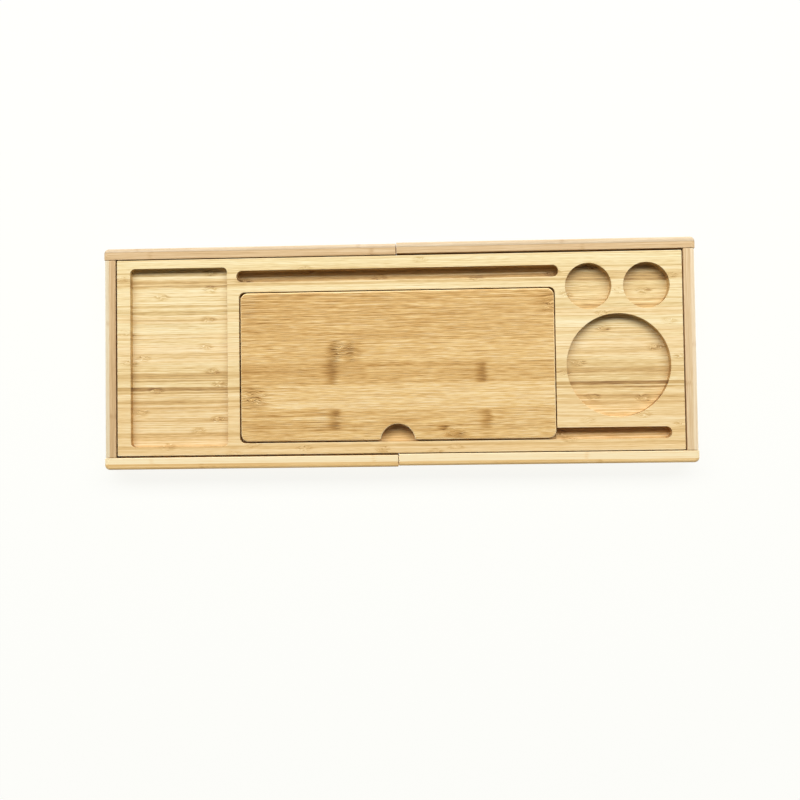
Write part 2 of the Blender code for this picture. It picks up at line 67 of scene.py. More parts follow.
# A ramp's places and sRGB hex colours, and the places and tones across the grain
Stops = tuple[tuple[float, str], ...]
Profile = tuple[Pair, ...]

log = logging.getLogger("bath_tray")


class Body(Enum):
    """The moving bodies that a piece can ride on."""

    BOARD = "board"
    LEFT_FRAME = "left_frame"
    RIGHT_FRAME = "right_frame"
    BOOK_REST = "book_rest"


class Slot(Enum):
    """Names of finishes for new pieces, which nothing in this script uses."""

    SIDE_PRESSED = "side_pressed_bamboo"
    FLAT_PRESSED = "flat_pressed_bamboo"
    RAIL = "rail_bamboo"
    GRIP = "clear_silicone"


class Grain(Enum):
    """The way the fibres run, as the turn that lays the pattern's first axis along them."""

    ALONG_X = 0.0
    ALONG_Y = -math.pi / 2


class Node(Enum):
    """The kinds of shader node that the finishes are made of, less the first part of their names."""

    PLACE = "TexCoord"
    MAPPING = "Mapping"
    SPLIT = "SeparateXYZ"
    JOIN = "CombineXYZ"
    MATHS = "Math"
    VECTORS = "VectorMath"
    RANGE = "MapRange"
    NOISE = "TexNoise"
    RANDOM = "TexWhiteNoise"
    CELLS = "TexVoronoi"
    WAVES = "TexWave"
    RAMP = "ValToRGB"
    CURVE = "FloatCurve"
    BUMP = "Bump"
    SURFACE = "BsdfPrincipled"
    DIFFUSE = "BsdfDiffuse"
    GLOW = "Emission"
    CLEAR = "BsdfTransparent"
    MIX = "MixShader"
    RAYS = "LightPath"
    GEOMETRY = "NewGeometry"
    BACKGROUND = "Background"
    OUTPUT = "OutputMaterial"
    WORLD = "OutputWorld"


class Maths(Enum):
    """The sums that a maths node does."""

    ADD = "ADD"
    MINUS = "SUBTRACT"
    TIMES = "MULTIPLY"
    TIMES_PLUS = "MULTIPLY_ADD"
    SIZE = "ABSOLUTE"
    MOST = "MAXIMUM"
    ABOVE = "GREATER_THAN"
    BELOW = "LESS_THAN"
    FLOOR = "FLOOR"
    SINE = "SINE"
    PINGPONG = "PINGPONG"


# Outlines and sections


def arc(centre: Sequence[float], radius: float, start: float, end: float, steps: int) -> np.ndarray:
    """Points on a circle from one angle to another, in degrees."""
    angle = np.radians(np.linspace(start, end, steps + 1))
    return np.stack((centre[0] + radius * np.cos(angle), centre[1] + radius * np.sin(angle)), axis=1)


def rectangle(
    across: Sequence[float], deep: Sequence[float], radii: Sequence[float], steps: int
) -> np.ndarray:
    """An anticlockwise rectangle whose corners are quarter circles.

    A corner's circle is centred on the corner moved inwards along both sides by its radius.

    Args:
        across: Lowest and highest x.
        deep: Lowest and highest y.
        radii: Radii of the front left, front right, back right and back left corners.
        steps: Steps in each quarter circle.

    Returns:
        An array of 4 (steps + 1) points, that starts at the front left corner.
    """
    corners = ((0, 0, 180), (1, 0, 270), (1, 1, 0), (0, 1, 90))
    parts = []
    for (i, j, start), radius in zip(corners, radii):
        centre = (across[i] + radius * (1 - 2 * i), deep[j] + radius * (1 - 2 * j))
        parts.append(arc(centre, radius, start, start + 90, steps))
    return np.concatenate(parts)


def grow(loop: np.ndarray, distance: float) -> np.ndarray:
    """Moves an anticlockwise loop outwards.

    A point moves along the sum of the unit normals of its two edges, divided by one plus their dot
    product, which keeps every edge parallel to itself.

    Args:
        loop: Points of the loop.
        distance: How far its edges move, negative for inwards.

    Returns:
        The moved points.
    """
    edge = np.roll(loop, -1, axis=0) - loop
    length = np.maximum(np.linalg.norm(edge, axis=1, keepdims=True), 1e-9)
    normal = np.stack((edge[:, 1], -edge[:, 0]), axis=1) / length
    before = np.roll(normal, 1, axis=0)
    return loop + distance * (normal + before) / (1 + np.sum(normal * before, axis=1, keepdims=True))


def lift(loop: np.ndarray, height: float) -> np.ndarray:
    """Gives flat points a height."""
    return np.column_stack((loop, np.full(len(loop), height)))


def quarter_round(radius: float, steps: int) -> tuple[np.ndarray, np.ndarray]:
    """Insets and rises of a quarter circle from a wall up to a flat top."""
    angle = np.linspace(0, math.pi / 2, steps + 1)
    return radius * (1 - np.cos(angle)), radius * np.sin(angle)


def rounding(loop: np.ndarray, height: float, radius: float, steps: int, up: int) -> list[np.ndarray]:
    """Rings of a rounding between upright sides and a flat face.

    Args:
        loop: Outline of the sides.
        height: Height of the flat face.
        radius: Radius of the rounding.
        steps: Steps of the quarter circle.
        up: 1 where the face is a top, -1 where it is a bottom.

    Returns:
        The rings, from the lowest to the highest.
    """
    turn = zip(*quarter_round(radius, steps))
    return [lift(grow(loop, -inset), height + up * (rise - radius)) for inset, rise in turn][::up]


def box_of(node: str) -> np.ndarray:
    """The lowest and the highest corner of a CAD node, in millimetres."""
    return np.array(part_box(node)) * TO_MILLIMETRES


def put_in_scene(name: str, data: bpy.types.ID) -> bpy.types.Object:
    """Makes an object from a mesh, a light or a camera, and links it to the scene."""
    thing = bpy.data.objects.new(name, data)
    bpy.context.scene.collection.objects.link(thing)
    return thing


class Shell:
    """Patches of surface in millimetres that are joined into one closed mesh in metres."""

    # In metres: how near points are merged, and how short edges are taken out
    merge_within = 1e-6
    shortest_edge = 1e-7
    # Edges that turn by more than this stay sharp
    sharp_degrees = 35.0

    def __init__(self) -> None:
        """Starts without patches."""
        self.points: list[np.ndarray] = []
        self.faces: list[list[int]] = []
        self.count = 0

    def take(self, points: np.ndarray) -> int:
        """Keeps points and gives the number of the first."""
        first = self.count
        self.points.append(points)
        self.count += len(points)
        return first

    def skin(self, rings: Sequence[np.ndarray], closed: bool = True) -> None:
        """Joins each ring to the next by four-sided faces.

        The face of step i and point j has the corners (i, j), (i, j + 1), (i + 1, j + 1), (i + 1, j).

        Args:
            rings: Rings of equally many points with heights.
            closed: Whether the last point of a ring is joined to its first.
        """
        grid = np.stack(rings)
        first = self.take(grid.reshape(-1, 3))
        index = first + np.arange(grid.shape[0] * grid.shape[1]).reshape(grid.shape[:2])
        if closed:
            index = np.concatenate((index, index[:, :1]), axis=1)
        corners = (index[:-1, :-1], index[:-1, 1:], index[1:, 1:], index[1:, :-1])
        self.faces += np.stack(corners, axis=-1).reshape(-1, 4).tolist()

    def cap(self, *loops: np.ndarray) -> None:
        """Fills a flat outline with triangles, and leaves holes for the loops after the first."""
        first = self.take(np.concatenate(loops))
        triangles = tessellate_polygon([[Vector(point) for point in loop] for loop in loops])
        self.faces += (first + np.array(triangles)).tolist()

    def close(self, rings: Sequence[np.ndarray]) -> None:
        """Joins rings and fills the first and the last of them."""
        self.skin(rings)
        self.cap(rings[0])
        self.cap(rings[-1])

    def move(self, along_x: int, along_y: int, shift: float) -> None:
        """Mirrors the patches where a sign is -1, and then shifts them along Y."""
        self.points = [points * (along_x, along_y, 1) + (0, shift, 0) for points in self.points]

    def build(self, name: str) -> bpy.types.Object:
        """Makes the mesh: doubles merged, normals outwards, round parts smooth.

        Args:
            name: Name of the object.

        Returns:
            The object, at the origin.
        """
        mesh = bpy.data.meshes.new(name)
        mesh.from_pydata(np.concatenate(self.points) * TO_METRES, [], self.faces)
        solid = bmesh.new()
        solid.from_mesh(mesh)
        bmesh.ops.remove_doubles(solid, verts=solid.verts, dist=self.merge_within)
        bmesh.ops.dissolve_degenerate(solid, edges=solid.edges, dist=self.shortest_edge)
        bmesh.ops.recalc_face_normals(solid, faces=solid.faces)
        solid.to_mesh(mesh)
        solid.free()
        mesh.shade_smooth()
        mesh.set_sharp_from_angle(angle=math.radians(self.sharp_degrees))
        piece = put_in_scene(name, mesh)
        level = piece.modifiers.new("flat faces stay flat", "WEIGHTED_NORMAL")
        level.keep_sharp = True
        return piece


# Finishes

# Settings of a range that starts and ends gently
SMOOTH = {"interpolation_type": "SMOOTHSTEP"}


def linear(colour: str) -> tuple[float, float, float, float]:
    """Turns an sRGB hex colour into linear light, with an alpha of one."""
    channel = np.array([int(colour[i : i + 2], 16) for i in (1, 3, 5)]) / 255
    light = np.where(channel <= 0.04045, channel / 12.92, ((channel + 0.055) / 1.055) ** 2.4)
    return (*light.tolist(), 1.0)


def set_stops(ramp: bpy.types.ColorRamp, stops: Stops) -> None:
    """Puts sRGB colours on a new colour ramp at their places."""
    ramp.elements.remove(ramp.elements[1])
    for number, (place, colour) in enumerate(stops):
        stop = ramp.elements.new(place) if number else ramp.elements[0]
        stop.position, stop.color = place, linear(colour)


class Graph:
    """The node tree of one material or of the world."""

    def __init__(self, tree: bpy.types.NodeTree) -> None:
        """Takes a tree and clears it."""
        self.tree = tree
        self.tree.nodes.clear()

    def add(
        self,
        kind: Node | Maths,
        inputs: Sequence[object] | dict[str, object] = (),
        output: int | str = 0,
        **settings: object,
    ) -> Socket | bpy.types.Node:
        """Adds a node with its settings and links.

        Args:
            kind: Kind of node, or a maths node's operation.
            inputs: Values, or the outputs that feed them, in the inputs' order or by their names.
            output: Number or name of the output that is wanted.
            settings: Settings of the node by name.

        Returns:
            The output, or the node where it has none.
        """
        if isinstance(kind, Maths):
            kind, settings = Node.MATHS, {"operation": kind.value}
        node = self.tree.nodes.new(f"ShaderNode{kind.value}")
        for name, value in settings.items():
            setattr(node, name, value)
        for key, value in inputs.items() if isinstance(inputs, dict) else enumerate(inputs):
            if isinstance(value, Socket):
                self.tree.links.new(value, node.inputs[key])
            else:
                node.inputs[key].default_value = value
        return node.outputs[output] if node.outputs else node

    def end(self, inputs: dict[str, object]) -> None:
        """Ends the tree of a material in a surface with these inputs."""
        self.add(Node.OUTPUT, (self.add(Node.SURFACE, inputs),))


def new_material(name: str) -> tuple[Material, Graph]:
    """Makes an empty material and the graph that fills it."""
    material = bpy.data.materials.new(name)
    material.use_nodes = True
    return material, Graph(material.node_tree)


@dataclass(frozen=True)
class Knuckle:
    """A culm node that crosses a lamina, as a dark mark with a ragged edge, in millimetres.

    The depth is what it takes away from the tone, the tail is how much further its wider part goes on
    the left, and dense is its core's share of the depth.
    """

    along: float
    across: float
    reach: float
    width: float
    depth: float
    tail: float = 0.0
    dense: float = 0.7


@dataclass(frozen=True)
class Swirl:
    """A place where fibres bend round a bud scar, in millimetres."""

    along: float
    across: float
    reach: float
    width: float
    bend: float = 9.0


@dataclass(frozen=True)
class Bamboo:
    """Laminated bamboo, planed, sanded and sealed with a thin satin lacquer.

    Long parallel fibres give fine pale and tan streaks, every lamina has its own tone, and the culm's
    nodes leave short dark marks. Cut ends show the fibre bundles as dots. Eased edges are paler,
    partly from sanding and partly as a painted highlight.
    A tone of 0 to 1 is the lightness that the colours stand at.
    """

    name: str
    colours: Stops
    grain: Grain = Grain.ALONG_X
    # Width of a lamina and where one starts, across the grain
    lamina_mm: float = 6.0
    lamina_start_mm: float = 0.0
    lamina_uneven: float = 0.0
    lamina_tone: float = 0.05
    glue_tone: float = 0.03
    # Tones across the grain: pairs of a place in millimetres and a tone
    profile: Profile = ((-200.0, 0.8), (200.0, 0.8))
    # How far a fibre strays, the tone of broad, long, medium and fine streaks, and a factor on the
    # widths of all streaks
    stray_mm: float = 1.2
    broad_tone: float = 0.12
    long_tone: float = 0.35
    streak_tone: float = 0.3
    fine_tone: float = 0.2
    streak_width: float = 1.0
    # How green and blue change across the grain for each millimetre, as painted light and sheen of the
    # lamp behind, and from lamina to lamina as the laminae's own tint
    painted_light_hue_drift: Pair = (0.0, 0.0)
    lamina_tint: Pair = (0.0, 0.0)
    # Tint of an outer lamina, as factors of red, green and blue, partly its own colour and partly a
    # painted sheen on its rounded edge, and where it starts on either side
    outer_colour_and_sheen: Triple = (1.0, 1.0, 1.0)
    outer_from_mm: float = 1000.0
    # How the tone changes along the fibres, for each millimetre
    drift: float = 0.0
    # Nodes of the culm that come back along every lamina
    knuckle_every_mm: float = 250.0
    knuckle_reach_mm: float = 4.0
    knuckle_tone: float = 0.1
    knuckles: tuple[Knuckle, ...] = ()
    swirls: tuple[Swirl, ...] = ()
    # Small knots: the mean distance between them along and across the grain, and what they take away
    knots_mm: Pair | None = None
    knot_tone: float = 0.12
    # What eased edges add to the tone, partly for their sanding and partly as a painted highlight
    edge_sanding_and_highlight: float = 0.05
    # Routed faces, within these half extents along and across the grain, carry painted shade: what end
    # walls, walls that face the front and walls that face the back take away from the tone, and what the
    # floors take away for each millimetre that they lie below a height
    routed_mm: Pair = (0.0, 0.0)
    painted_wall_shade: Triple = (0.0, 0.0, 0.0)
    painted_floor_shade: float = 0.0
    floor_from_mm: float = 16.5
    # Contrast of the tones on the floors, about a middle tone
    floor_contrast: float = 1.0
    middle_tone: float = 0.86
    roughness: float = 0.42
    coat: float = 0.05
    seed: float = 0.0

    def build(self) -> Material:
        """Makes the material."""
        material = new_material(self.name)[0]
        BambooGraph(material.node_tree, self).fill()
        return material


class BambooGraph(Graph):
    """The node tree of a bamboo finish.

    Its patterns share some outputs: grain is the place in millimetres, its first axis along the
    fibres, facing is the way that the surface faces on the same axes, strayed is the place on straight
    fibres, lamina gives three random numbers for each lamina, and seam is 1 along each glue line.
    """

    # Sizes in millimetres of the clouds that bend the fibres: everywhere, at knots and at bud scars
    stray_clouds = (110.0, 16.0, 16.0)
    knot_clouds = (6.0, 2.6, 2.6)
    scar_clouds = (9.0, 5.0, 5.0)
    # How strongly a knot bends the fibres
    knot_bend = 6.0
    # Fibre bundles are 0.3 to 0.6 mm across and run on for 20 to 200 mm: length, width and detail of
    # the broad streaks, which stand for slow changes of the wood, and of the long, medium and fine ones
    streak_sizes = ((150.0, 4.5, 2.0), (180.0, 0.48, 1.0), (42.0, 0.38, 1.0), (12.0, 0.38, 1.0))
    # How quickly the laminae's widths swing, where they are uneven
    swing_rate = 2.3
    # Moves each lamina's fibres to a place of their own, so that no streak crosses a glue line
    lamina_jump = (900.0, 0.0, 300.0)
    # The real glue line is 0.05 mm, drawn 0.3 mm wide so that it shows, with soft edges
    glue_line = (0.15, 0.4)
    # Fine streaks tear a mark's edge along the fibres, by this for a tone of 1
    tear_mm = 9.0
    # The fine streaks' tones between which dark fibres turn to pale ones. On pale ones a mark has 0.4
    # of its depth, and on dark ones 0.7 more
    dash_tones = (-0.08, 0.06)
    torn_depth = (0.7, 0.4)
    # A small knot's dark rim: how far out it lies, and how far it fades inwards and outwards
    knot_rim = 0.09
    knot_fades = (0.14, 0.1)
    # How softly a knuckle ends at its sides, in millimetres
    knuckle_soft = 0.6
    # In a knuckle's reaches, how far its core goes before and after its middle, and how far the wider
    # part goes on either side, with what is added in millimetres
    core_reach = (2.0, 1.15)
    wide_reach = (1.5, 4.0)
    # Bundles in a cut end are 0.3 to 0.5 mm across, drawn 0.9 mm apart so that they show: where they
    # end, and what their middles and the wood between them take away from the tone
    bundle_scale = (0.02, 1.1, 1.1)
    bundle_rim = (0.25, 0.5)
    bundle_tones = (0.16, 0.05)
    # The parts of a face's normal between which it comes to count as a cut end, as an eased edge, as
    # a top, as a floor, as not steep, and as a wall that faces the front or the back
    end_facing = (0.55, 0.9)
    edge_facing = (0.2, 0.45)
    top_facing = (0.93, 0.995)
    floor_facing = (0.5, 0.9)
    steep_facing = (0.1, 0.5)
    wall_facing = (0.1, 0.8)
    # The depths between which a floor gets its own contrast
    floor_begins = (0.1, 0.4)
    # Pale streaks are smoother, and fibres stand 0.06 mm proud after sanding
    streak_roughness = -0.12
    relief = {"Strength": 0.35, "Distance": 0.00006}

    def __init__(self, tree: bpy.types.NodeTree, look: Bamboo) -> None:
        """Adds the outputs that the patterns share.

        Args:
            tree: The material's tree.
            look: The finish.
        """
        super().__init__(tree)
        self.look = look
        turn, scale = (0.0, 0.0, look.grain.value), (TO_MILLIMETRES,) * 3
        place, normal = (self.add(Node.PLACE, output=name) for name in ("Object", "Normal"))
        self.grain = self.add(Node.MAPPING, {"Vector": place, "Rotation": turn, "Scale": scale})
        self.facing = self.add(Node.MAPPING, {"Vector": normal, "Rotation": turn}, vector_type="VECTOR")
        self.strayed = self.stray()
        self.lamina, self.seam = self.laminae()

    def fill(self) -> None:
        """Joins the patterns to a tone, a colour and a surface."""
        look = self.look
        streaks = self.streaks()
        streak, fine = streaks[2:]
        tone = self.cut_faces(self.tone(streaks, self.marks(fine)))
        wall, deep = self.routed()
        gain = self.add(Node.RANGE, (deep, *self.floor_begins, 1.0, look.floor_contrast))
        tone = self.add(Maths.ADD, (tone, -look.middle_tone))
        tone = self.add(Maths.TIMES_PLUS, (tone, gain, look.middle_tone))
        # Painted shade: walls darkened by which way they face, and floors darker the deeper they lie
        tone = self.add(Maths.MINUS, (tone, wall))
        tone = self.add(Maths.TIMES_PLUS, (deep, -look.painted_floor_shade, tone))
        ramp = self.add(Node.RAMP, (tone,))
        set_stops(ramp.node.color_ramp, look.colours)
        height = self.add(Maths.ADD, (streak, fine))
        rough = self.add(Maths.TIMES_PLUS, (streak, self.streak_roughness, look.roughness))
        self.end(
            {
                "Base Color": self.tinted(ramp),
                "Roughness": rough,
                "IOR": 1.3,
                "Normal": self.add(Node.BUMP, {"Height": height, **self.relief}),
                "Coat Weight": look.coat,
                "Coat Roughness": 0.3,
            }
        )

    def pattern(
        self, place: Socket, size: Sequence[float], detail: float = 1.0, start: float = 0.0
    ) -> Socket:
        """Draws a cloudy pattern.

        Args:
            place: Where it is drawn.
            size: About how large its clouds are on the three axes, in millimetres.
            detail: How many times finer clouds lie in them.
            start: How far it is moved along the fibres, in clouds.

        Returns:
            The pattern, from -0.5 to 0.5.
        """
        scale = [1 / length for length in size]
        place = self.add(Node.MAPPING, {"Vector": place, "Location": (start, 0, 0), "Scale": scale})
        noise = self.add(Node.NOISE, {"Vector": place, "Scale": 1.0, "Detail": detail})
        return self.add(Maths.ADD, (noise, -0.5))

    def stray(self) -> Socket:
        """Bends the fibres sideways, gently everywhere and strongly round knots and bud scars.

        Returns:
            The place on straight fibres.
        """
        look, grain = self.look, self.grain
        wave = self.pattern(grain, self.stray_clouds, start=look.seed)
        shift = self.add(Maths.TIMES, (wave, 2 * look.stray_mm))
        if look.knots_mm:
            curl = self.pattern(grain, self.knot_clouds)
            near = self.add(Node.RANGE, (self.knots(), 0.05, 0.2, self.knot_bend, 0.0), **SMOOTH)
            shift = self.add(Maths.TIMES_PLUS, (curl, near, shift))
        if look.swirls:
            eddy = self.pattern(grain, self.scar_clouds)
        for swirl in look.swirls:
            scale = (1 / swirl.reach, 1 / swirl.width, 0)
            middle = (-swirl.along / swirl.reach, -swirl.across / swirl.width, 0)
            away = self.add(Node.MAPPING, {"Vector": grain, "Location": middle, "Scale": scale})
            far = self.add(Node.VECTORS, (away,), "Value", operation="LENGTH")
            near = self.add(Node.RANGE, (far, 1.0, 0.2, 0.0, swirl.bend), **SMOOTH)
            shift = self.add(Maths.TIMES_PLUS, (eddy, near, shift))
        offset = self.add(Node.JOIN, {"Y": shift})
        return self.add(Node.VECTORS, (grain, offset), operation="ADD")

    def knots(self) -> Socket:
        """Scatters small knots and gives the distance from the nearest, 0.2 at its rim."""
        along, across = self.look.knots_mm
        start, scale = (self.look.seed, 0, 0), (1 / along, 1 / across, 0)
        place = self.add(Node.MAPPING, {"Vector": self.grain, "Location": start, "Scale": scale})
        return self.add(Node.CELLS, {"Vector": place, "Scale": 1.0}, "Distance", voronoi_dimensions="2D")

    def laminae(self) -> tuple[Socket, Socket]:
        """Counts the laminae across the grain and finds the glue lines between them.

        The count is the whole part of t + u sin(r t), t being the place over the lamina's width, u the
        unevenness and r the swing rate.

        Returns:
            Three random numbers for each lamina, and a line of 1 along each glue line.
        """
        look = self.look
        across = self.add(Node.SPLIT, (self.strayed,), "Y")
        count = self.add(Maths.ADD, (across, -look.lamina_start_mm))
        count = self.add(Maths.TIMES, (count, 1 / look.lamina_mm))
        if look.lamina_uneven:
            swing = self.add(Maths.SINE, (self.add(Maths.TIMES, (count, self.swing_rate)),))
            count = self.add(Maths.TIMES_PLUS, (swing, look.lamina_uneven, count))
        key = self.add(Maths.ADD, (self.add(Maths.FLOOR, (count,)), look.seed + 0.5))
        lamina = self.add(Node.RANDOM, {"W": key}, "Color", noise_dimensions="1D")
        part = self.add(Maths.PINGPONG, (count, 1.0))
        first, last = (width / look.lamina_mm for width in self.glue_line)
        return lamina, self.add(Node.RANGE, (part, first, last, 1.0, 0.0))

    def streaks(self) -> list[Socket]:
        """Draws streaks along the fibres.

        Returns:
            Broad, long, medium and fine streaks, each from -0.5 to 0.5.
        """
        jump = self.add(Node.VECTORS, (self.lamina, self.lamina_jump), operation="MULTIPLY")
        fibre = self.add(Node.VECTORS, (self.strayed, jump), operation="ADD")
        drawn = []
        for length, width, detail in self.streak_sizes:
            width *= self.look.streak_width
            drawn.append(self.pattern(fibre, (length, width, width), detail))
        return drawn

    def hump(self, away: Socket, before: float, after: float) -> Socket:
        """A smooth hump along the fibres: 1 in its middle, nothing past its reach on either side."""
        rise = self.add(Node.RANGE, (away, -before, 0.0, 0.0, 1.0), **SMOOTH)
        fall = self.add(Node.RANGE, (away, 0.0, after, 1.0, 0.0), **SMOOTH)
        return self.add(Maths.TIMES, (rise, fall))

    def marks(self, fine: Socket) -> Socket:
        """Draws the culm's nodes as dark marks, torn along the fibres.

        Args:
            fine: Fine streaks, which tear the marks' edges.

        Returns:
            How much the marks darken the tone.
        """
        look = self.look
        along, across = (self.add(Node.SPLIT, (self.strayed,), axis) for axis in "XY")
        torn = self.add(Maths.TIMES_PLUS, (fine, self.tear_mm, along))
        dash = self.add(Node.RANGE, (fine, *self.dash_tones, 1.0, 0.0))
        own = self.add(Node.SPLIT, (self.lamina,), "X")
        step = self.add(Maths.TIMES_PLUS, (own, look.knuckle_every_mm, torn))
        away = self.add(Maths.PINGPONG, (step, look.knuckle_every_mm / 2))
        reach = look.knuckle_reach_mm
        total = self.add(Node.RANGE, (away, reach, 0.0, 0.0, look.knuckle_tone), **SMOOTH)
        torn_part = self.add(Maths.TIMES_PLUS, (dash, *self.torn_depth))
        total = self.add(Maths.TIMES, (total, torn_part))
        if look.knots_mm:
            rim = self.add(Maths.ADD, (self.knots(), -self.knot_rim))
            knot = self.add(Maths.TIMES, (self.hump(rim, *self.knot_fades), look.knot_tone))
            total = self.add(Maths.TIMES_PLUS, (knot, torn_part, total))
        for knuckle in look.knuckles:
            away = self.add(Maths.ADD, (torn, -knuckle.along))
            side = self.add(Maths.SIZE, (self.add(Maths.ADD, (across, -knuckle.across)),))
            half, soft = knuckle.width / 2, self.knuckle_soft
            inside = self.add(Node.RANGE, (side, half - soft, half + soft, knuckle.depth, 0.0))
            # A dense core, and round it a wider part that only shows along dark fibres
            core = self.hump(away, *(part * knuckle.reach for part in self.core_reach))
            wide = self.wide_reach[0] * knuckle.reach + self.wide_reach[1]
            halo = self.hump(away, wide + knuckle.tail, wide)
            core = self.add(Maths.TIMES, (core, knuckle.dense))
            halo = self.add(Maths.TIMES, (halo, 1.0 - knuckle.dense))
            halo = self.add(Maths.TIMES_PLUS, (halo, dash, core))
            total = self.add(Maths.TIMES_PLUS, (halo, inside, total))
        return total

    def tone(self, streaks: Sequence[Socket], mark: Socket) -> Socket:
        """Adds the tones up: across the board, of the lamina, of the streaks, less marks and glue.

        Args:
            streaks: Broad, long, medium and fine streaks.
            mark: What the culm's nodes take away.

        Returns:
            The tone, from 0 to 1.
        """
        look = self.look
        along, across = (self.add(Node.SPLIT, (self.strayed,), axis) for axis in "XY")
        first, last = look.profile[0][0], look.profile[-1][0]
        part = self.add(Node.RANGE, (across, first, last, 0.0, 1.0))
        total = self.add(Node.CURVE, {"Value": part})
        curve = total.node.mapping.curves[0]
        while len(curve.points) < len(look.profile):
            curve.points.new(0.5, 0.5)
        for point, (place, tone) in zip(curve.points, look.profile):
            point.location = ((place - first) / (last - first), tone)
            point.handle_type = "VECTOR"
        total.node.mapping.update()
        own = self.add(Maths.ADD, (self.add(Node.SPLIT, (self.lamina,), "Z"), -0.5))
        amounts = (look.lamina_tone, look.broad_tone, look.long_tone, look.streak_tone, look.fine_tone)
        for value, amount in zip((own, *streaks, along), (*amounts, look.drift)):
            total = self.add(Maths.TIMES_PLUS, (value, amount, total))
        total = self.add(Maths.MINUS, (total, mark))
        return self.add(Maths.TIMES_PLUS, (self.seam, -look.glue_tone, total))

    def cut_faces(self, tone: Socket) -> Socket:
        """Darkens and dots the faces that cut the fibres across, and lightens eased edges.

        The eased edges are lightened partly for their sanding and partly as a painted highlight.

        Args:
            tone: Tone of the long faces.

        Returns:
            The tone of any face.
        """
        flat = self.add(Node.MAPPING, {"Vector": self.grain, "Scale": self.bundle_scale})
        cell = self.add(Node.CELLS, {"Vector": flat, "Scale": 1.0}, "Distance")
        dot = self.add(Node.RANGE, (cell, *self.bundle_rim, *self.bundle_tones))
        end, up = (self.add(Node.SPLIT, (self.facing,), axis) for axis in "XZ")
        end = self.add(Node.RANGE, (self.add(Maths.SIZE, (end,)), *self.end_facing, 0.0, -1.0))
        tone = self.add(Maths.TIMES_PLUS, (end, dot, tone))
        tilted = self.add(Node.RANGE, (up, *self.edge_facing, 0.0, self.look.edge_sanding_and_highlight))
        level = self.add(Node.RANGE, (up, *self.top_facing, 1.0, 0.0))
        return self.add(Maths.TIMES_PLUS, (tilted, level, tone))

    def routed(self) -> tuple[Socket, Socket]:
        """Finds routed walls and floors within the half extents.

        Returns:
            What the painted shade on the walls takes away from the tone, and how deep a floor lies.
        """
        look = self.look
        turned, up = (self.add(Node.SPLIT, (self.facing,), axis) for axis in "YZ")
        steep = self.add(Node.RANGE, (self.add(Maths.SIZE, (up,)), *self.steep_facing, 1.0, 0.0))
        end_wall, to_front, to_back = look.painted_wall_shade
        first, last = self.wall_facing
        wall = self.add(Node.RANGE, (turned, -last, -first, to_front, end_wall))
        back = self.add(Node.RANGE, (turned, first, last, 0.0, to_back - end_wall))
        wall = self.add(Maths.TIMES, (self.add(Maths.ADD, (wall, back)), steep))
        height = self.add(Node.SPLIT, (self.grain,), "Z")
        deep = self.add(Maths.MINUS, (look.floor_from_mm, height))
        deep = self.add(Maths.MOST, (deep, 0.0))
        flat = self.add(Node.RANGE, (up, *self.floor_facing, 0.0, 1.0))
        deep = self.add(Maths.TIMES, (deep, flat))
        for axis, half in zip("XY", look.routed_mm):
            side = self.add(Maths.SIZE, (self.add(Node.SPLIT, (self.grain,), axis),))
            inside = self.add(Maths.BELOW, (side, half))
            wall, deep = (self.add(Maths.TIMES, (value, inside)) for value in (wall, deep))
        return wall, deep

    def tinted(self, colour: Socket) -> Socket:
        """Makes a colour more orange or more yellow, over the board's width and for every lamina.

        The change over the width is painted light and sheen of the lamp behind, and the change from
        lamina to lamina is their own tint.

        Args:
            colour: The untinted colour.

        Returns:
            The tinted colour.
        """
        look = self.look
        across = self.add(Node.SPLIT, (self.strayed,), "Y")
        own = self.add(Maths.ADD, (self.add(Node.SPLIT, (self.lamina,), "Y"), -0.5))
        outside = self.add(Maths.ABOVE, (self.add(Maths.SIZE, (across,)), look.outer_from_mm))
        factors = []
        drifts, spreads = (0.0, *look.painted_light_hue_drift), (0.0, *look.lamina_tint)
        for drift, spread, tint in zip(drifts, spreads, look.outer_colour_and_sheen):
            factor = self.add(Maths.TIMES_PLUS, (across, drift, 1.0))
            factor = self.add(Maths.TIMES_PLUS, (own, spread, factor))
            factors.append(self.add(Maths.TIMES_PLUS, (outside, tint - 1.0, factor)))
        tint = self.add(Node.JOIN, factors)
        return self.add(Node.VECTORS, (colour, tint), operation="MULTIPLY")


@dataclass(frozen=True)
class Beech:
    """Beech dowel rod, turned and left raw: pinkish tan with short dark pores along the grain."""

    name: str = "turned_beech"
    colours: Stops = ((0.35, "#B98D62"), (0.55, "#DDBB92"))

    def build(self) -> Material:
        """Makes the material."""
        material, graph = new_material(self.name)
        place = graph.add(Node.PLACE, output="Object")
        # Pores are 1 to 3 mm long and 0.1 mm wide, drawn 0.3 mm wide
        along = graph.add(Node.MAPPING, {"Vector": place, "Scale": (3000.0, 500.0, 3000.0)})
        pore = graph.add(Node.NOISE, {"Vector": along, "Scale": 1.0, "Detail": 2.0})
        ramp = graph.add(Node.RAMP, (pore,))
        set_stops(ramp.node.color_ramp, self.colours)
        bump = graph.add(Node.BUMP, {"Height": pore, "Strength": 0.3, "Distance": 0.00005})
        graph.end({"Base Color": ramp, "Roughness": 0.62, "IOR": 1.5, "Normal": bump})
        return material


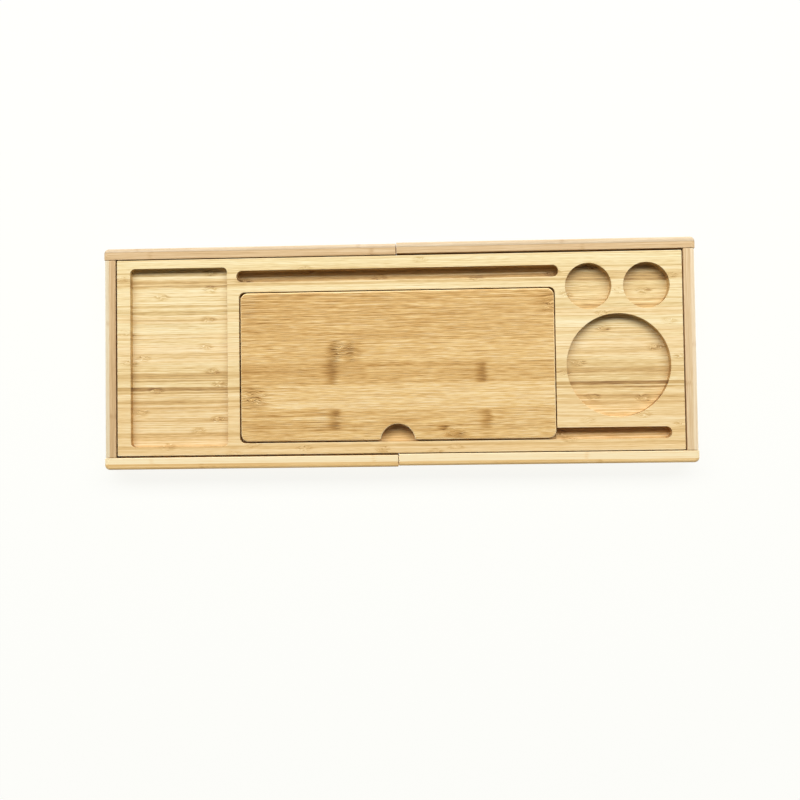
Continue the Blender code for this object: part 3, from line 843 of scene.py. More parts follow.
@dataclass(frozen=True)
class ZincPlate:
    """Cold-formed steel screw, bright zinc plated: silvery with a faint blue and yellow bloom."""

    name: str = "bright_zinc_plate"
    colours: Stops = ((0.35, "#BFC6CC"), (0.65, "#D3D0C4"))

    def build(self) -> Material:
        """Makes the material."""
        material, graph = new_material(self.name)
        place = graph.add(Node.PLACE, output="Object")
        # The bloom changes over about 2 mm, the grain of the plating over 0.15 mm
        bloom = graph.add(Node.NOISE, {"Vector": place, "Scale": 500.0, "Detail": 2.0})
        speck = graph.add(Node.NOISE, {"Vector": place, "Scale": 6500.0, "Detail": 1.0})
        ramp = graph.add(Node.RAMP, (bloom,))
        set_stops(ramp.node.color_ramp, self.colours)
        rough = graph.add(Node.RANGE, (speck, 0.3, 0.7, 0.24, 0.36))
        bump = graph.add(Node.BUMP, {"Height": speck, "Strength": 0.15, "Distance": 0.00002})
        graph.end({"Base Color": ramp, "Metallic": 1.0, "Roughness": rough, "Normal": bump})
        return material


@dataclass(frozen=True)
class Silicone:
    """Moulded silicone strip: milky, dull and a little see-through, with fine moulded cross ribs."""

    name: str = "moulded_silicone"
    colours: Stops = ((0.3, "#D9D7D0"), (0.7, "#ECEAE5"))
    rib_spacing: float = 0.0025

    def build(self) -> Material:
        """Makes the material."""
        material, graph = new_material(self.name)
        place = graph.add(Node.PLACE, output="Object")
        # A wave node's period is 2 pi over 20 times its scale
        scale = 2 * math.pi / 20 / self.rib_spacing
        rib = graph.add(Node.WAVES, {"Vector": place, "Scale": scale}, "Fac")
        dust = graph.add(Node.NOISE, {"Vector": place, "Scale": 350.0, "Detail": 4.0})
        ramp = graph.add(Node.RAMP, (dust,))
        set_stops(ramp.node.color_ramp, self.colours)
        graph.end(
            {
                "Base Color": ramp,
                "Roughness": graph.add(Node.RANGE, (dust, 0.3, 0.7, 0.42, 0.58)),
                "IOR": 1.41,
                "Subsurface Weight": 0.35,
                "Subsurface Radius": (0.003, 0.003, 0.003),
                "Subsurface Scale": 1.0,
                "Normal": graph.add(Node.BUMP, {"Height": rib, "Strength": 0.5, "Distance": 0.00015}),
            }
        )
        return material


# Colours of pale bamboo, from the brown of a node to the palest edge, each at its own lightness
PALE_BAMBOO = (
    (0.35, "#6C4F38"),
    (0.50, "#9D774A"),
    (0.60, "#BE965E"),
    (0.70, "#D8B476"),
    (0.80, "#ECCD92"),
    (0.88, "#F9DEA7"),
    (0.97, "#FFEDC2"),
)
# The panel's flat-pressed laminae are more orange
WARM_BAMBOO = (
    (0.35, "#6B4B27"),
    (0.50, "#9A6E38"),
    (0.60, "#BB8B49"),
    (0.70, "#D5A765"),
    (0.78, "#E7BE7B"),
    (0.86, "#F5D18C"),
    (0.97, "#FFE7B7"),
)


def with_dark_bands(
    level: Profile, bands: Sequence[tuple[float, float, float, float, float]]
) -> Profile:
    """Lays dark bands over a slowly changing tone across the grain.

    From its start to its first edge a band's tone falls by its depth, and from its second edge to its
    end it comes back. The level in between is found by straight interpolation.

    Args:
        level: Places and tones, from low to high.
        bands: Start, first edge, second edge, end and depth of each band, apart from each other.

    Returns:
        Places and tones of the whole profile.
    """
    places, tones = np.array(level).T
    points = {place: tone for place, tone in level}
    for start, first, second, end, depth in bands:
        for place, fall in ((start, 0.0), (first, depth), (second, depth), (end, 0.0)):
            points[place] = float(np.interp(place, places, tones)) - fall
    return tuple(sorted(points.items()))


# Half the width in millimetres of the change of tone between two laminae
HALF_CHANGE = 0.3


def steps_of_tone(edges: Sequence[float], tones: Sequence[float]) -> Profile:
    """Gives each lamina between two edges its own even tone.

    Args:
        edges: Places of the laminae's edges, from low to high.
        tones: A tone for each lamina.

    Returns:
        Places and tones of the profile.
    """
    points = []
    for low, high, tone in zip(edges, edges[1:], tones):
        points += [(low + HALF_CHANGE, tone), (high - HALF_CHANGE, tone)]
    return tuple(points)


# The rails' laminae: rosier ones at the back and the ends, cream and orange ones in front
ROSY_BAMBOO = (
    (0.35, "#6C4F39"),
    (0.50, "#9D774D"),
    (0.60, "#BC9568"),
    (0.70, "#D3B080"),
    (0.78, "#E4C597"),
    (0.86, "#F1DAB2"),
    (0.97, "#FFEDC4"),
)
CREAM_BAMBOO = (
    (0.35, "#6C4F29"),
    (0.60, "#BE9052"),
    (0.74, "#DDB373"),
    (0.82, "#EDC686"),
    (0.90, "#F9DCA7"),
    (0.965, "#FFECC0"),
)

# Finishes of this tray's pieces

SIDE_PRESSED = Bamboo(
    name="side_pressed_bamboo_board",
    colours=PALE_BAMBOO,
    lamina_mm=6.2,
    lamina_uneven=0.25,
    lamina_tone=0.05,
    glue_tone=0.05,
    profile=with_dark_bands(
        (
            (-102.0, 0.855),
            (-74.0, 0.855),
            (-60.0, 0.87),
            (0.0, 0.876),
            (55.0, 0.872),
            (75.0, 0.85),
            (102.0, 0.84),
        ),
        (
            (-95.2, -94.2, -92.4, -91.0, 0.10),
            (-84.0, -82.0, -78.6, -77.6, 0.08),
            (-67.0, -65.6, -65.0, -64.2, 0.05),
            (-55.0, -53.2, -51.4, -50.4, 0.12),
            (-49.0, -47.0, -45.2, -44.0, 0.10),
            (-37.9, -37.2, -36.0, -35.4, 0.13),
            (-34.9, -34.2, -30.9, -30.5, 0.22),
            (-27.8, -26.8, -23.6, -22.8, 0.05),
            (-22.6, -21.6, -16.0, -15.0, 0.12),
            (-14.6, -13.6, -10.6, -9.4, 0.06),
            (-2.8, -1.8, 4.2, 5.2, 0.055),
            (10.4, 10.8, 11.8, 12.4, 0.04),
            (18.6, 19.4, 20.8, 21.6, 0.07),
            (38.4, 39.0, 40.0, 41.0, 0.06),
            (45.2, 46.0, 48.2, 49.2, 0.09),
            (51.8, 52.8, 54.2, 55.6, 0.10),
            (66.0, 66.6, 67.2, 67.8, 0.055),
            (73.0, 73.8, 75.0, 75.8, 0.09),
            (76.4, 77.0, 80.2, 81.0, 0.05),
            (85.6, 86.4, 87.6, 88.6, 0.06),
        ),
    ),
    broad_tone=0.1,
    long_tone=0.42,
    streak_tone=0.25,
    fine_tone=0.3,
    # Green and blue rise towards the back: painted light and sheen of the lamp behind
    painted_light_hue_drift=(0.0005, 0.0009),
    lamina_tint=(0.05, 0.08),
    knuckle_tone=0.0,
    knots_mm=(58.0, 25.0),
    knot_tone=0.09,
    # Painted shade in the recesses: walls darkened by which way they face, floors by their depth
    routed_mm=(287.0, 97.5),
    painted_wall_shade=(0.12, 0.1, 0.3),
    painted_floor_shade=0.035,
    floor_contrast=1.4,
)

FLAT_PRESSED = Bamboo(
    name="flat_pressed_bamboo_panel",
    colours=WARM_BAMBOO,
    lamina_mm=23.6,
    lamina_start_mm=15.4,
    lamina_tone=0.0,
    glue_tone=0.05,
    profile=steps_of_tone(
        (-102.6, -79.0, -56.2, -30.6, -8.2, 15.4, 39.0, 62.6, 86.2),
        (0.785, 0.762, 0.837, 0.725, 0.775, 0.74, 0.722, 0.742),
    ),
    stray_mm=1.4,
    broad_tone=0.09,
    long_tone=0.45,
    streak_tone=0.7,
    fine_tone=0.7,
    streak_width=0.68,
    drift=0.00012,
    knuckle_tone=0.0,
    knuckles=(
        Knuckle(-65.5, 3.6, 5.0, 23.0, 0.26, 3.0, 0.35),
        Knuckle(-58.0, 3.6, 7.0, 21.0, 0.14, 0.0, -0.1),
        Knuckle(-48.5, 3.6, 4.5, 23.0, 0.17, 2.0, 0.6),
        Knuckle(-41.0, 3.6, 6.0, 22.0, 0.09, 2.0, 0.6),
        Knuckle(-67.5, -19.5, 6.5, 22.0, 0.20, 6.0, 0.75),
        Knuckle(-148.0, -43.6, 15.0, 23.0, 0.22, 0.0, 0.45),
        Knuckle(-64.0, -67.0, 6.0, 21.0, 0.22, 6.0, 0.75),
        Knuckle(87.5, -20.0, 5.5, 22.0, 0.22, 12.0, 0.75),
        Knuckle(92.0, -67.0, 6.0, 21.0, 0.18, 3.0, 0.75),
        Knuckle(48.0, -76.0, 6.0, 3.0, 0.34, 3.0, 0.7),
        Knuckle(62.0, -83.0, 9.0, 7.0, 0.26, 3.0, 0.5),
        Knuckle(157.0, 50.5, 9.0, 22.0, 0.13, 3.0, 0.5),
    ),
    swirls=(
        Swirl(-56.0, 4.0, 30.0, 13.0, 5.0),
        Swirl(-150.0, -43.0, 22.0, 12.0),
        Swirl(158.0, 50.0, 12.0, 14.0),
        Swirl(56.0, -80.0, 18.0, 7.0),
    ),
    # Paler eased edges, partly sanding and partly a painted highlight
    edge_sanding_and_highlight=0.16,
    # Its edges are darkened by which way they face: painted shade in the gap round it
    routed_mm=(400.0, 87.5),
    painted_wall_shade=(0.2, 0.3, 0.2),
    roughness=0.4,
    seed=7.0,
)


def rail_finish(
    name: str,
    colours: Stops,
    across: Grain,
    joint: float,
    inner: float,
    outer: float,
    seed: float,
    outer_colour_and_sheen: Triple = (1.0, 1.0, 1.0),
) -> Bamboo:
    """Makes the finish of a rail of two laminae, 7 mm inside and 5 mm outside.

    Args:
        name: The rail's name.
        colours: Its ramp of colours.
        across: Which way its fibres run.
        joint: Place of the glue line across the grain, in millimetres.
        inner: Tone of the inner lamina.
        outer: Tone of the outer lamina.
        seed: Number that makes its streaks its own.
        outer_colour_and_sheen: Tint of the outer lamina.

    Returns:
        The finish.
    """
    # Wider than a rail, so that the only glue line on it is the one at the joint
    wide = 30.0
    tones = (inner, outer) if joint > 0 else (outer, inner)
    return Bamboo(
        name=f"{name}_bamboo",
        colours=colours,
        grain=across,
        lamina_mm=wide,
        lamina_start_mm=joint if joint > 0 else joint - wide,
        lamina_tone=0.0,
        glue_tone=0.06,
        profile=steps_of_tone((joint - wide, joint, joint + wide), tones),
        outer_colour_and_sheen=outer_colour_and_sheen,
        outer_from_mm=abs(joint),
        stray_mm=0.5,
        broad_tone=0.1,
        long_tone=0.3,
        streak_tone=0.2,
        fine_tone=0.15,
        knuckle_every_mm=230.0,
        knuckle_tone=0.07,
        edge_sanding_and_highlight=0.0,
        # The faces that slide on the board are darkened by which way they face, a painted shade that
        # darkens the gaps between the rails and the board
        routed_mm=(400.0, abs(joint) - 1.2),
        painted_wall_shade=(0.0, 0.3, 0.15),
        seed=seed,
    )


# Back and end rails' outer laminae are bluer, partly as a painted sheen on their rounded edges
RAIL_FINISHES = {
    rail: rail_finish(rail, *finish)
    for rail, *finish in (
        ("left_front_rail", CREAM_BAMBOO, Grain.ALONG_X, -110.0, 0.967, 0.795, 11.0),
        ("right_front_rail", CREAM_BAMBOO, Grain.ALONG_X, -110.0, 0.967, 0.815, 12.0),
        ("left_back_rail", ROSY_BAMBOO, Grain.ALONG_X, 110.0, 0.74, 0.715, 13.0, (0.9, 1.0, 1.22)),
        ("right_back_rail", ROSY_BAMBOO, Grain.ALONG_X, 110.0, 0.75, 0.715, 14.0, (0.9, 1.0, 1.2)),
        ("left_end_rail", ROSY_BAMBOO, Grain.ALONG_Y, 299.2, 0.715, 0.85, 15.0, (0.96, 1.03, 1.12)),
        ("right_end_rail", ROSY_BAMBOO, Grain.ALONG_Y, -299.2, 0.78, 0.87, 16.0, (1.0, 1.0, 1.05)),
    )
}


# Pieces


def dress(
    piece: bpy.types.Object, material: Material, body: Body, stands_for: str
) -> None:
    """Gives a new piece its material and its body, and hides the CAD node that it stands for.

    Args:
        piece: The new piece.
        material: Its material.
        body: The body that it rides on.
        stands_for: Name of the CAD node.
    """
    piece.data.materials.append(material)
    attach(piece, body.value)
    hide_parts(stands_for)
    log.info("%s: %d faces on %s", piece.name, len(piece.data.polygons), body.value)


def repaint(node: str, material: Material) -> None:
    """Gives a CAD node that stays a new material."""
    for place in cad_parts[node].material_slots:
        place.material = material
    log.info("%s: repainted with %s", node, material.name)


@dataclass(frozen=True)
class Pocket:
    """A straight-sided pocket with round corners, in millimetres."""

    left: float
    right: float
    front: float
    back: float
    corner: float
    floor: float

    def outline(self) -> np.ndarray:
        """The pocket's wall, seen from above."""
        across, deep = (self.left, self.right), (self.front, self.back)
        return rectangle(across, deep, (self.corner,) * 4, CORNER_STEPS)


@dataclass(frozen=True)
class RoundRecess:
    """A round recess, in millimetres."""

    x: float
    y: float
    radius: float
    floor: float

    def outline(self) -> np.ndarray:
        """The recess's wall, seen from above."""
        return arc((self.x, self.y), self.radius, 0, 360, CIRCLE_STEPS)[:-1]


@dataclass
class Board:
    """The routed centre board with its edge grooves, and the four stop screws under it."""

    # Roundings of its outer edges and of its recesses' mouths
    easing: float = 0.5
    mouth_easing: float = 0.25
    # The sanded sides stand this much further back from the rails
    slack: float = 0.25
    corner: float = 1.2
    # Heights between which the grooves lie in the front and back edges, and how far they go in
    groove: Pair = (8.5, 14.0)
    groove_depth: float = 8.5
    side_pocket: Pocket = Pocket(-276.8, -175.4, -92.6, 92.6, 5.0, 16.0)
    book_slot: Pocket = Pocket(-165.6, 165.7, 76.7, 88.7, 6.0, 13.5)
    cup: RoundRecess = RoundRecess(225.15, -14.75, 52.75, 15.2)
    candles: tuple[RoundRecess, RoundRecess] = (
        RoundRecess(195.75, 66.4, 23.5, 14.2),
        RoundRecess(254.55, 66.4, 23.5, 14.2),
    )
    well: Pocket = Pocket(-163.2, 161.9, -89.75, 66.2, 6.0, 13.5)
    phone_slot: Pocket = Pocket(161.9, 277.3, -89.55, -77.75, 5.9, 14.0)
    # The stop screws' counterbores in the underside
    screw_x: float = 202.1
    screw_y: float = 95.9
    counterbore: float = 3.3
    counterbore_top: float = 6.6
    corner_steps: int = 6
    round_steps: int = 5
    bore_steps: int = 40
    finish: Bamboo = SIDE_PRESSED

    def __post_init__(self) -> None:
        """Takes the board's box from the frame."""
        self.low, self.high = box_of("tray_board")

    def outer_ring(self, height: float, inset: float, groove: float = 0.0) -> np.ndarray:
        """The board's outline at one height, inset all round and cut back along the long edges.

        Args:
            height: Height of the ring.
            inset: How far all sides are moved in.
            groove: How far the front and the back are moved in as well.

        Returns:
            The ring.
        """
        inset += self.slack
        across = (self.low[0] + inset, self.high[0] - inset)
        deep = (self.low[1] + inset + groove, self.high[1] - inset - groove)
        return lift(rectangle(across, deep, (self.corner - inset,) * 4, self.corner_steps), height)

    def mouth(self, wall: np.ndarray) -> list[np.ndarray]:
        """Rings down a recess's rounded mouth, from the top of the board to its straight wall."""
        insets, rises = quarter_round(self.mouth_easing, self.round_steps)
        start = self.high[2] - self.mouth_easing
        return [lift(grow(wall, inset), start + rise) for inset, rise in zip(insets[::-1], rises[::-1])]

    def add_recess(self, shell: Shell, wall: np.ndarray, floor: float) -> np.ndarray:
        """Adds a recess's mouth, wall and floor.

        Args:
            shell: Where the patches go.
            wall: Outline of its wall.
            floor: Height of its floor.

        Returns:
            The edge of its mouth in the board's top.
        """
        rings = self.mouth(wall)
        bottom = lift(wall, floor)
        shell.skin([*rings, bottom])
        shell.cap(bottom)
        return rings[0]

    def add_well(self, shell: Shell) -> np.ndarray:
        """Adds the panel's well and the phone slot that opens into it, as one outline.

        The outline runs from the slot's back wall round the well to the slot's front wall, and out
        round the slot's end. A step of half a millimetre parts the two floors.

        Args:
            shell: Where the patches go.

        Returns:
            The edge of the mouth in the board's top.
        """
        well, slot = self.well, self.phone_slot
        back_joint = (well.right, slot.back)
        front_joint = (well.right, slot.front)
        left, right = well.left + well.corner, well.right - well.corner
        front, back = well.front + well.corner, well.back - well.corner
        # The slot's front wall leaves the well's round corner where the two cross
        leave = right + math.sqrt(well.corner**2 - (front - slot.front) ** 2)
        centres = ((right, back), (left, back), (left, front))
        corners = [
            arc(centre, well.corner, start, start + 90, CORNER_STEPS)
            for centre, start in zip(centres, (0, 90, 180))
        ]
        round_well = np.concatenate(
            ([back_joint], *corners, [(right, well.front), (leave, slot.front), front_joint])
        )
        middle = (slot.front + slot.back) / 2
        round_end = arc((slot.right - slot.corner, middle), slot.corner, -90, 90, 2 * CORNER_STEPS)
        wall = np.concatenate((round_well, round_end))
        count = len(round_well)
        rings = self.mouth(wall)
        in_well = [ring[:count] for ring in rings]
        in_well += [lift(round_well, slot.floor), lift(round_well, well.floor)]
        shell.skin(in_well, closed=False)
        shell.cap(in_well[-1])
        around = np.concatenate(([count - 1], np.arange(count, len(wall)), [0]))
        in_slot = [ring[around] for ring in rings] + [lift(wall[around], slot.floor)]
        shell.skin(in_slot, closed=False)
        shell.cap(in_slot[-1])
        step = np.array([front_joint, back_joint])
        shell.skin([lift(step, well.floor), lift(step, slot.floor)], closed=False)
        return rings[0]

    def build(self) -> None:
        """Builds the board's surface, and repaints the screws."""
        shell = Shell()
        insets, rises = quarter_round(self.easing, self.round_steps)
        bottom, top = self.low[2] + self.easing, self.high[2] - self.easing
        rings = [self.outer_ring(bottom - rise, inset) for inset, rise in zip(insets[::-1], rises[::-1])]
        rings.append(self.outer_ring(self.groove[0], 0.0))
        rings += [self.outer_ring(height, 0.0, self.groove_depth) for height in self.groove]
        rings.append(self.outer_ring(self.groove[1], 0.0))
        rings += [self.outer_ring(top + rise, inset) for inset, rise in zip(insets, rises)]
        shell.skin(rings)
        mouths = [
            self.add_recess(shell, recess.outline(), recess.floor)
            for recess in (self.side_pocket, self.book_slot, self.cup, *self.candles)
        ]
        mouths.append(self.add_well(shell))
        shell.cap(rings[-1], *mouths)
        bores = []
        for x in (-self.screw_x, self.screw_x):
            for y in (-self.screw_y, self.screw_y):
                bore = arc((x, y), self.counterbore, 0, 360, self.bore_steps)[:-1]
                shell.skin([lift(bore, self.low[2]), lift(bore, self.counterbore_top)])
                shell.cap(lift(bore, self.counterbore_top))
                bores.append(lift(bore, self.low[2]))
        shell.cap(rings[0], *bores)
        board = shell.build("routed_board")
        dress(board, self.finish.build(), Body.BOARD, "tray_board")
        zinc = ZincPlate().build()
        for side in ("left", "right"):
            for edge in ("front", "back"):
                repaint(f"{side}_{edge}_stop_screw", zinc)


@dataclass
class Panel:
    """The loose panel with its finger notch, which stands in the back slot as a book rest."""

    corner: float = 8.0
    # Radius and depth of the finger notch, and the radius of its lips
    notch: float = 17.2
    notch_depth: float = 16.4
    fillet: float = 3.0
    top_round: float = 1.6
    top_steps: int = 7
    bottom_round: float = 0.7
    bottom_steps: int = 5
    lip_steps: int = 10
    notch_steps: int = 60
    # The lacquered edge stands this much further back from the well's wall
    slack: float = 0.3
    # The loose panel lies this much to the right and to the back in its well
    push: Pair = (0.2, 0.2)
    finish: Bamboo = FLAT_PRESSED

    def __post_init__(self) -> None:
        """Takes the panel's box from the frame."""
        self.low, self.high = box_of("book_rest_panel")

    def outline(self) -> np.ndarray:
        """Draws the panel from above: round corners, and a round notch with eased lips in front.

        The notch's circle and a lip's circle touch, so their centres are the sum of the radii apart.

        Returns:
            The anticlockwise outline.
        """
        middle = (self.low[0] + self.high[0]) / 2
        front = self.low[1]
        notch_y = front - (self.notch - self.notch_depth)
        lip_y = front + self.fillet
        reach = self.notch + self.fillet
        lip_x = math.sqrt(reach**2 - (lip_y - notch_y) ** 2)
        turn = math.degrees(math.asin((lip_y - notch_y) / reach))
        across, deep = (self.low[0], self.high[0]), (front, self.high[1])
        body = rectangle(across, deep, (self.corner,) * 4, CORNER_STEPS)
        return np.concatenate(
            (
                arc((middle - lip_x, lip_y), self.fillet, -90, -turn, self.lip_steps),
                arc((middle, notch_y), self.notch, 180 - turn, turn, self.notch_steps)[1:-1],
                arc((middle + lip_x, lip_y), self.fillet, 180 + turn, 270, self.lip_steps),
                # The rest, from the front right corner on
                np.roll(body, -(CORNER_STEPS + 1), axis=0),
            )
        )

    def build(self) -> None:
        """Builds the panel's surface."""
        shell = Shell()
        edge = grow(self.outline(), -self.slack) + np.array(self.push)
        rings = rounding(edge, self.low[2], self.bottom_round, self.bottom_steps, -1)
        shell.close(rings + rounding(edge, self.high[2], self.top_round, self.top_steps, 1))
        panel = shell.build("book_rest")
        dress(panel, self.finish.build(), Body.BOOK_REST, "book_rest_panel")


@dataclass(frozen=True)
class Bar:
    """A square bar whose four upper long edges may each have their own rounding, in millimetres."""

    across: Pair
    deep: Pair
    tall: Pair
    easing: float
    # Roundings between the top and the left, right, front and back side: how far they reach inwards.
    # They reach down by the same times the squash, so that a squashed one is part of an ellipse
    top_round: tuple[float, float, float, float]
    # Radii of the front left, front right, back right and back left upright edges
    corners: tuple[float, float, float, float]
    squash: float = 0.6
    easing_steps: int = 5
    round_steps: int = 14
    corner_steps: int = 8

    def heights(self) -> np.ndarray:
        """Heights at which the bar's section changes, from its bottom to its top."""
        rises = quarter_round(self.easing, self.easing_steps)[1]
        tall = max(self.top_round) * self.squash
        tops = quarter_round(tall, self.round_steps)[1]
        low = self.tall[0] + self.easing - rises[::-1]
        return np.concatenate((low, self.tall[1] - tall + tops))

    def ring(self, height: float) -> np.ndarray:
        """The bar's outline at one height.

        Within a rounding of reach r, squashed to s times r, a side at h above its start is inset by r
        less the root of r squared minus h over s squared. Small roundings aren't squashed. An upright
        edge's radius shrinks by the smaller of its sides' insets.

        Args:
            height: Height of the ring.

        Returns:
            The outline, from the front left corner.
        """
        low, high = self.tall
        insets = []
        for radius in self.top_round:
            squash = self.squash if radius > self.easing else 1.0
            above = max(height - (high - radius * squash), 0.0) / squash
            below = max(low + self.easing - height, 0.0)
            inset = radius - math.sqrt(max(radius**2 - above**2, 0.0))
            insets.append(inset + self.easing - math.sqrt(max(self.easing**2 - below**2, 0.0)))
        left, right, front, back = insets
        pairs = ((left, front), (right, front), (right, back), (left, back))
        radii = [max(radius - min(pair), 0.0) for radius, pair in zip(self.corners, pairs)]
        across = (self.across[0] + left, self.across[1] - right)
        deep = (self.deep[0] + front, self.deep[1] - back)
        return rectangle(across, deep, radii, self.corner_steps)


@dataclass
class SlidingFrame:
    """One U-shaped frame: two long rails with tongues, an end rail, dowels and grips.

    It is drawn as the right frame, and mirrored for the left one.
    """

    side: str
    body: Body
    # The long rails start at the seam, end at the length and lie between inner and outer
    seam: float = 0.3
    length: float = 305.0
    inner: float = 103.0
    outer: float = 115.0
    tall: Pair = (2.0, 22.0)
    # Roundings of the upper outer edges, of that edge on the front rails, and of all other edges
    rounding: float = 5.0
    front_rounding: float = 2.6
    easing: float = 0.7
    # The end rail between the long rails, across the tray and to the front and the back
    end_rail: Pair = (292.2, 304.2)
    end_rail_reach: float = 102.7
    # Tongue: its heights, the depth of its tip and of its cut-back part, and where these change
    tongue: Pair = (8.8, 13.7)
    tongue_tip: float = 94.4
    tongue_relieved: float = 98.2
    tongue_steps: Triple = (30.3, 204.6, 290.0)
    cutter_slope: float = 0.05
    # Grip: its ends, half its width, its lower rounding, the play round it and how far it is let in
    grip: Pair = (201.0, 291.0)
    grip_half: float = 3.5
    grip_edge: float = 0.5
    grip_fit: float = 0.3
    grip_seat: float = 1.0
    grip_steps: int = 12
    grip_edge_steps: int = 4

    def __post_init__(self) -> None:
        """Finds which way the frame points and how far it lies off the middle."""
        self.sign = 1 if self.body is Body.RIGHT_FRAME else -1
        self.play = box_of(f"{self.side}_back_rail")[1, 1] - self.outer

    def long_ring(self, bar: Bar, height: float, tongue: bool) -> np.ndarray:
        """A long rail's outline at one height, with or without its tongue.

        The inner side has a point at each place where the tongue's depth changes. With the tongue,
        the seam end runs straight on to its tip, and those points take the tongue's depth.

        Args:
            bar: The rail without its tongue.
            height: Height of the ring.
            tongue: Whether the ring cuts the tongue.

        Returns:
            The ring.
        """
        ring = bar.ring(height)
        corner = bar.corner_steps + 1
        places = np.array([x + s * self.cutter_slope for x in self.tongue_steps for s in (-1, 1)])
        depths = np.full(6, ring[corner - 1, 1])
        first = ring[:corner].copy()
        if tongue:
            depths[:5] = np.repeat((self.tongue_tip, self.tongue_relieved, self.tongue_tip), (1, 2, 2))
            first[:, 0] = self.seam
            first[:, 1] = np.linspace(ring[0, 1], self.tongue_tip, corner)
        inner = np.stack((places, depths), axis=1)
        return lift(np.concatenate((first, inner, ring[corner:])), height)

    def grip_outline(self, extra: float) -> np.ndarray:
        """The outline of a grip under the back rail, grown by extra."""
        middle = (self.inner + self.outer) / 2
        across = (self.grip[0] - extra, self.grip[1] + extra)
        deep = (middle - self.grip_half - extra, middle + self.grip_half + extra)
        return rectangle(across, deep, (self.grip_half + extra,) * 4, self.grip_steps)

    def finish_piece(
        self, shell: Shell, name: str, front: bool, material: Material
    ) -> None:
        """Turns a piece drawn at the back of the right frame to its own place and dresses it.

        Args:
            shell: Its surface.
            name: Name after the frame's side, as in the CAD node's name.
            front: Whether it belongs at the front.
            material: Its material.
        """
        shell.move(self.sign, -1 if front else 1, self.play)
        piece = shell.build(f"{self.side}_{name}_surface")
        dress(piece, material, self.body, f"{self.side}_{name}")

    def build_long_rail(self, front: bool) -> None:
        """Builds the front or the back rail with its tongue and the seat of its grip."""
        ease, turn = self.easing, self.rounding
        outer = self.front_rounding if front else turn
        bar = Bar(
            (self.seam, self.length),
            (self.inner, self.outer),
            self.tall,
            ease,
            (ease, turn, ease, outer),
            (ease, ease, turn, ease),
        )
        shell = Shell()
        heights = bar.heights()
        start = np.searchsorted(heights, self.tongue[0])
        cuts = [(height, False) for height in (*heights[:start], self.tongue[0])]
        cuts += [(height, True) for height in self.tongue]
        cuts += [(height, False) for height in (self.tongue[1], *heights[start:])]
        rings = [self.long_ring(bar, height, tongue) for height, tongue in cuts]
        shell.skin(rings)
        shell.cap(rings[-1])
        seat = self.grip_outline(self.grip_fit)
        low, high = self.tall[0], self.tall[0] + self.grip_seat
        shell.skin([lift(seat, low), lift(seat, high)])
        shell.cap(lift(seat, high))
        shell.cap(rings[0], lift(seat, low))
        edge = "front" if front else "back"
        material = RAIL_FINISHES[f"{self.side}_{edge}_rail"].build()
        self.finish_piece(shell, f"{edge}_rail", front, material)

    def build_end_rail(self) -> None:
        """Builds the end rail."""
        ease = self.easing
        reach = self.end_rail_reach
        rounds = (ease, self.rounding, ease, ease)
        bar = Bar(self.end_rail, (-reach, reach), self.tall, ease, rounds, (ease,) * 4)
        shell = Shell()
        shell.close([lift(bar.ring(height), height) for height in bar.heights()])
        material = RAIL_FINISHES[f"{self.side}_end_rail"].build()
        self.finish_piece(shell, "end_rail", False, material)

    def build_grip(self, front: bool, material: Material) -> None:
        """Builds one silicone grip, its lower edge rounded."""
        shell = Shell()
        edge = self.grip_outline(0.0)
        top = self.tall[0] + self.grip_seat - self.grip_fit
        rings = rounding(edge, 0.0, self.grip_edge, self.grip_edge_steps, -1)
        shell.close([*rings, lift(edge, top)])
        self.finish_piece(shell, "front_grip" if front else "back_grip", front, material)

    def build(self, silicone: Material, beech: Material) -> None:
        """Builds the frame's rails and grips and repaints its dowels.

        Args:
            silicone: Material of the grips.
            beech: Material of the dowels.
        """
        for front in (True, False):
            self.build_long_rail(front)
            self.build_grip(front, silicone)
        self.build_end_rail()
        for edge in ("front", "back"):
            for level in ("lower", "upper"):
                repaint(f"{self.side}_{edge}_{level}_dowel", beech)


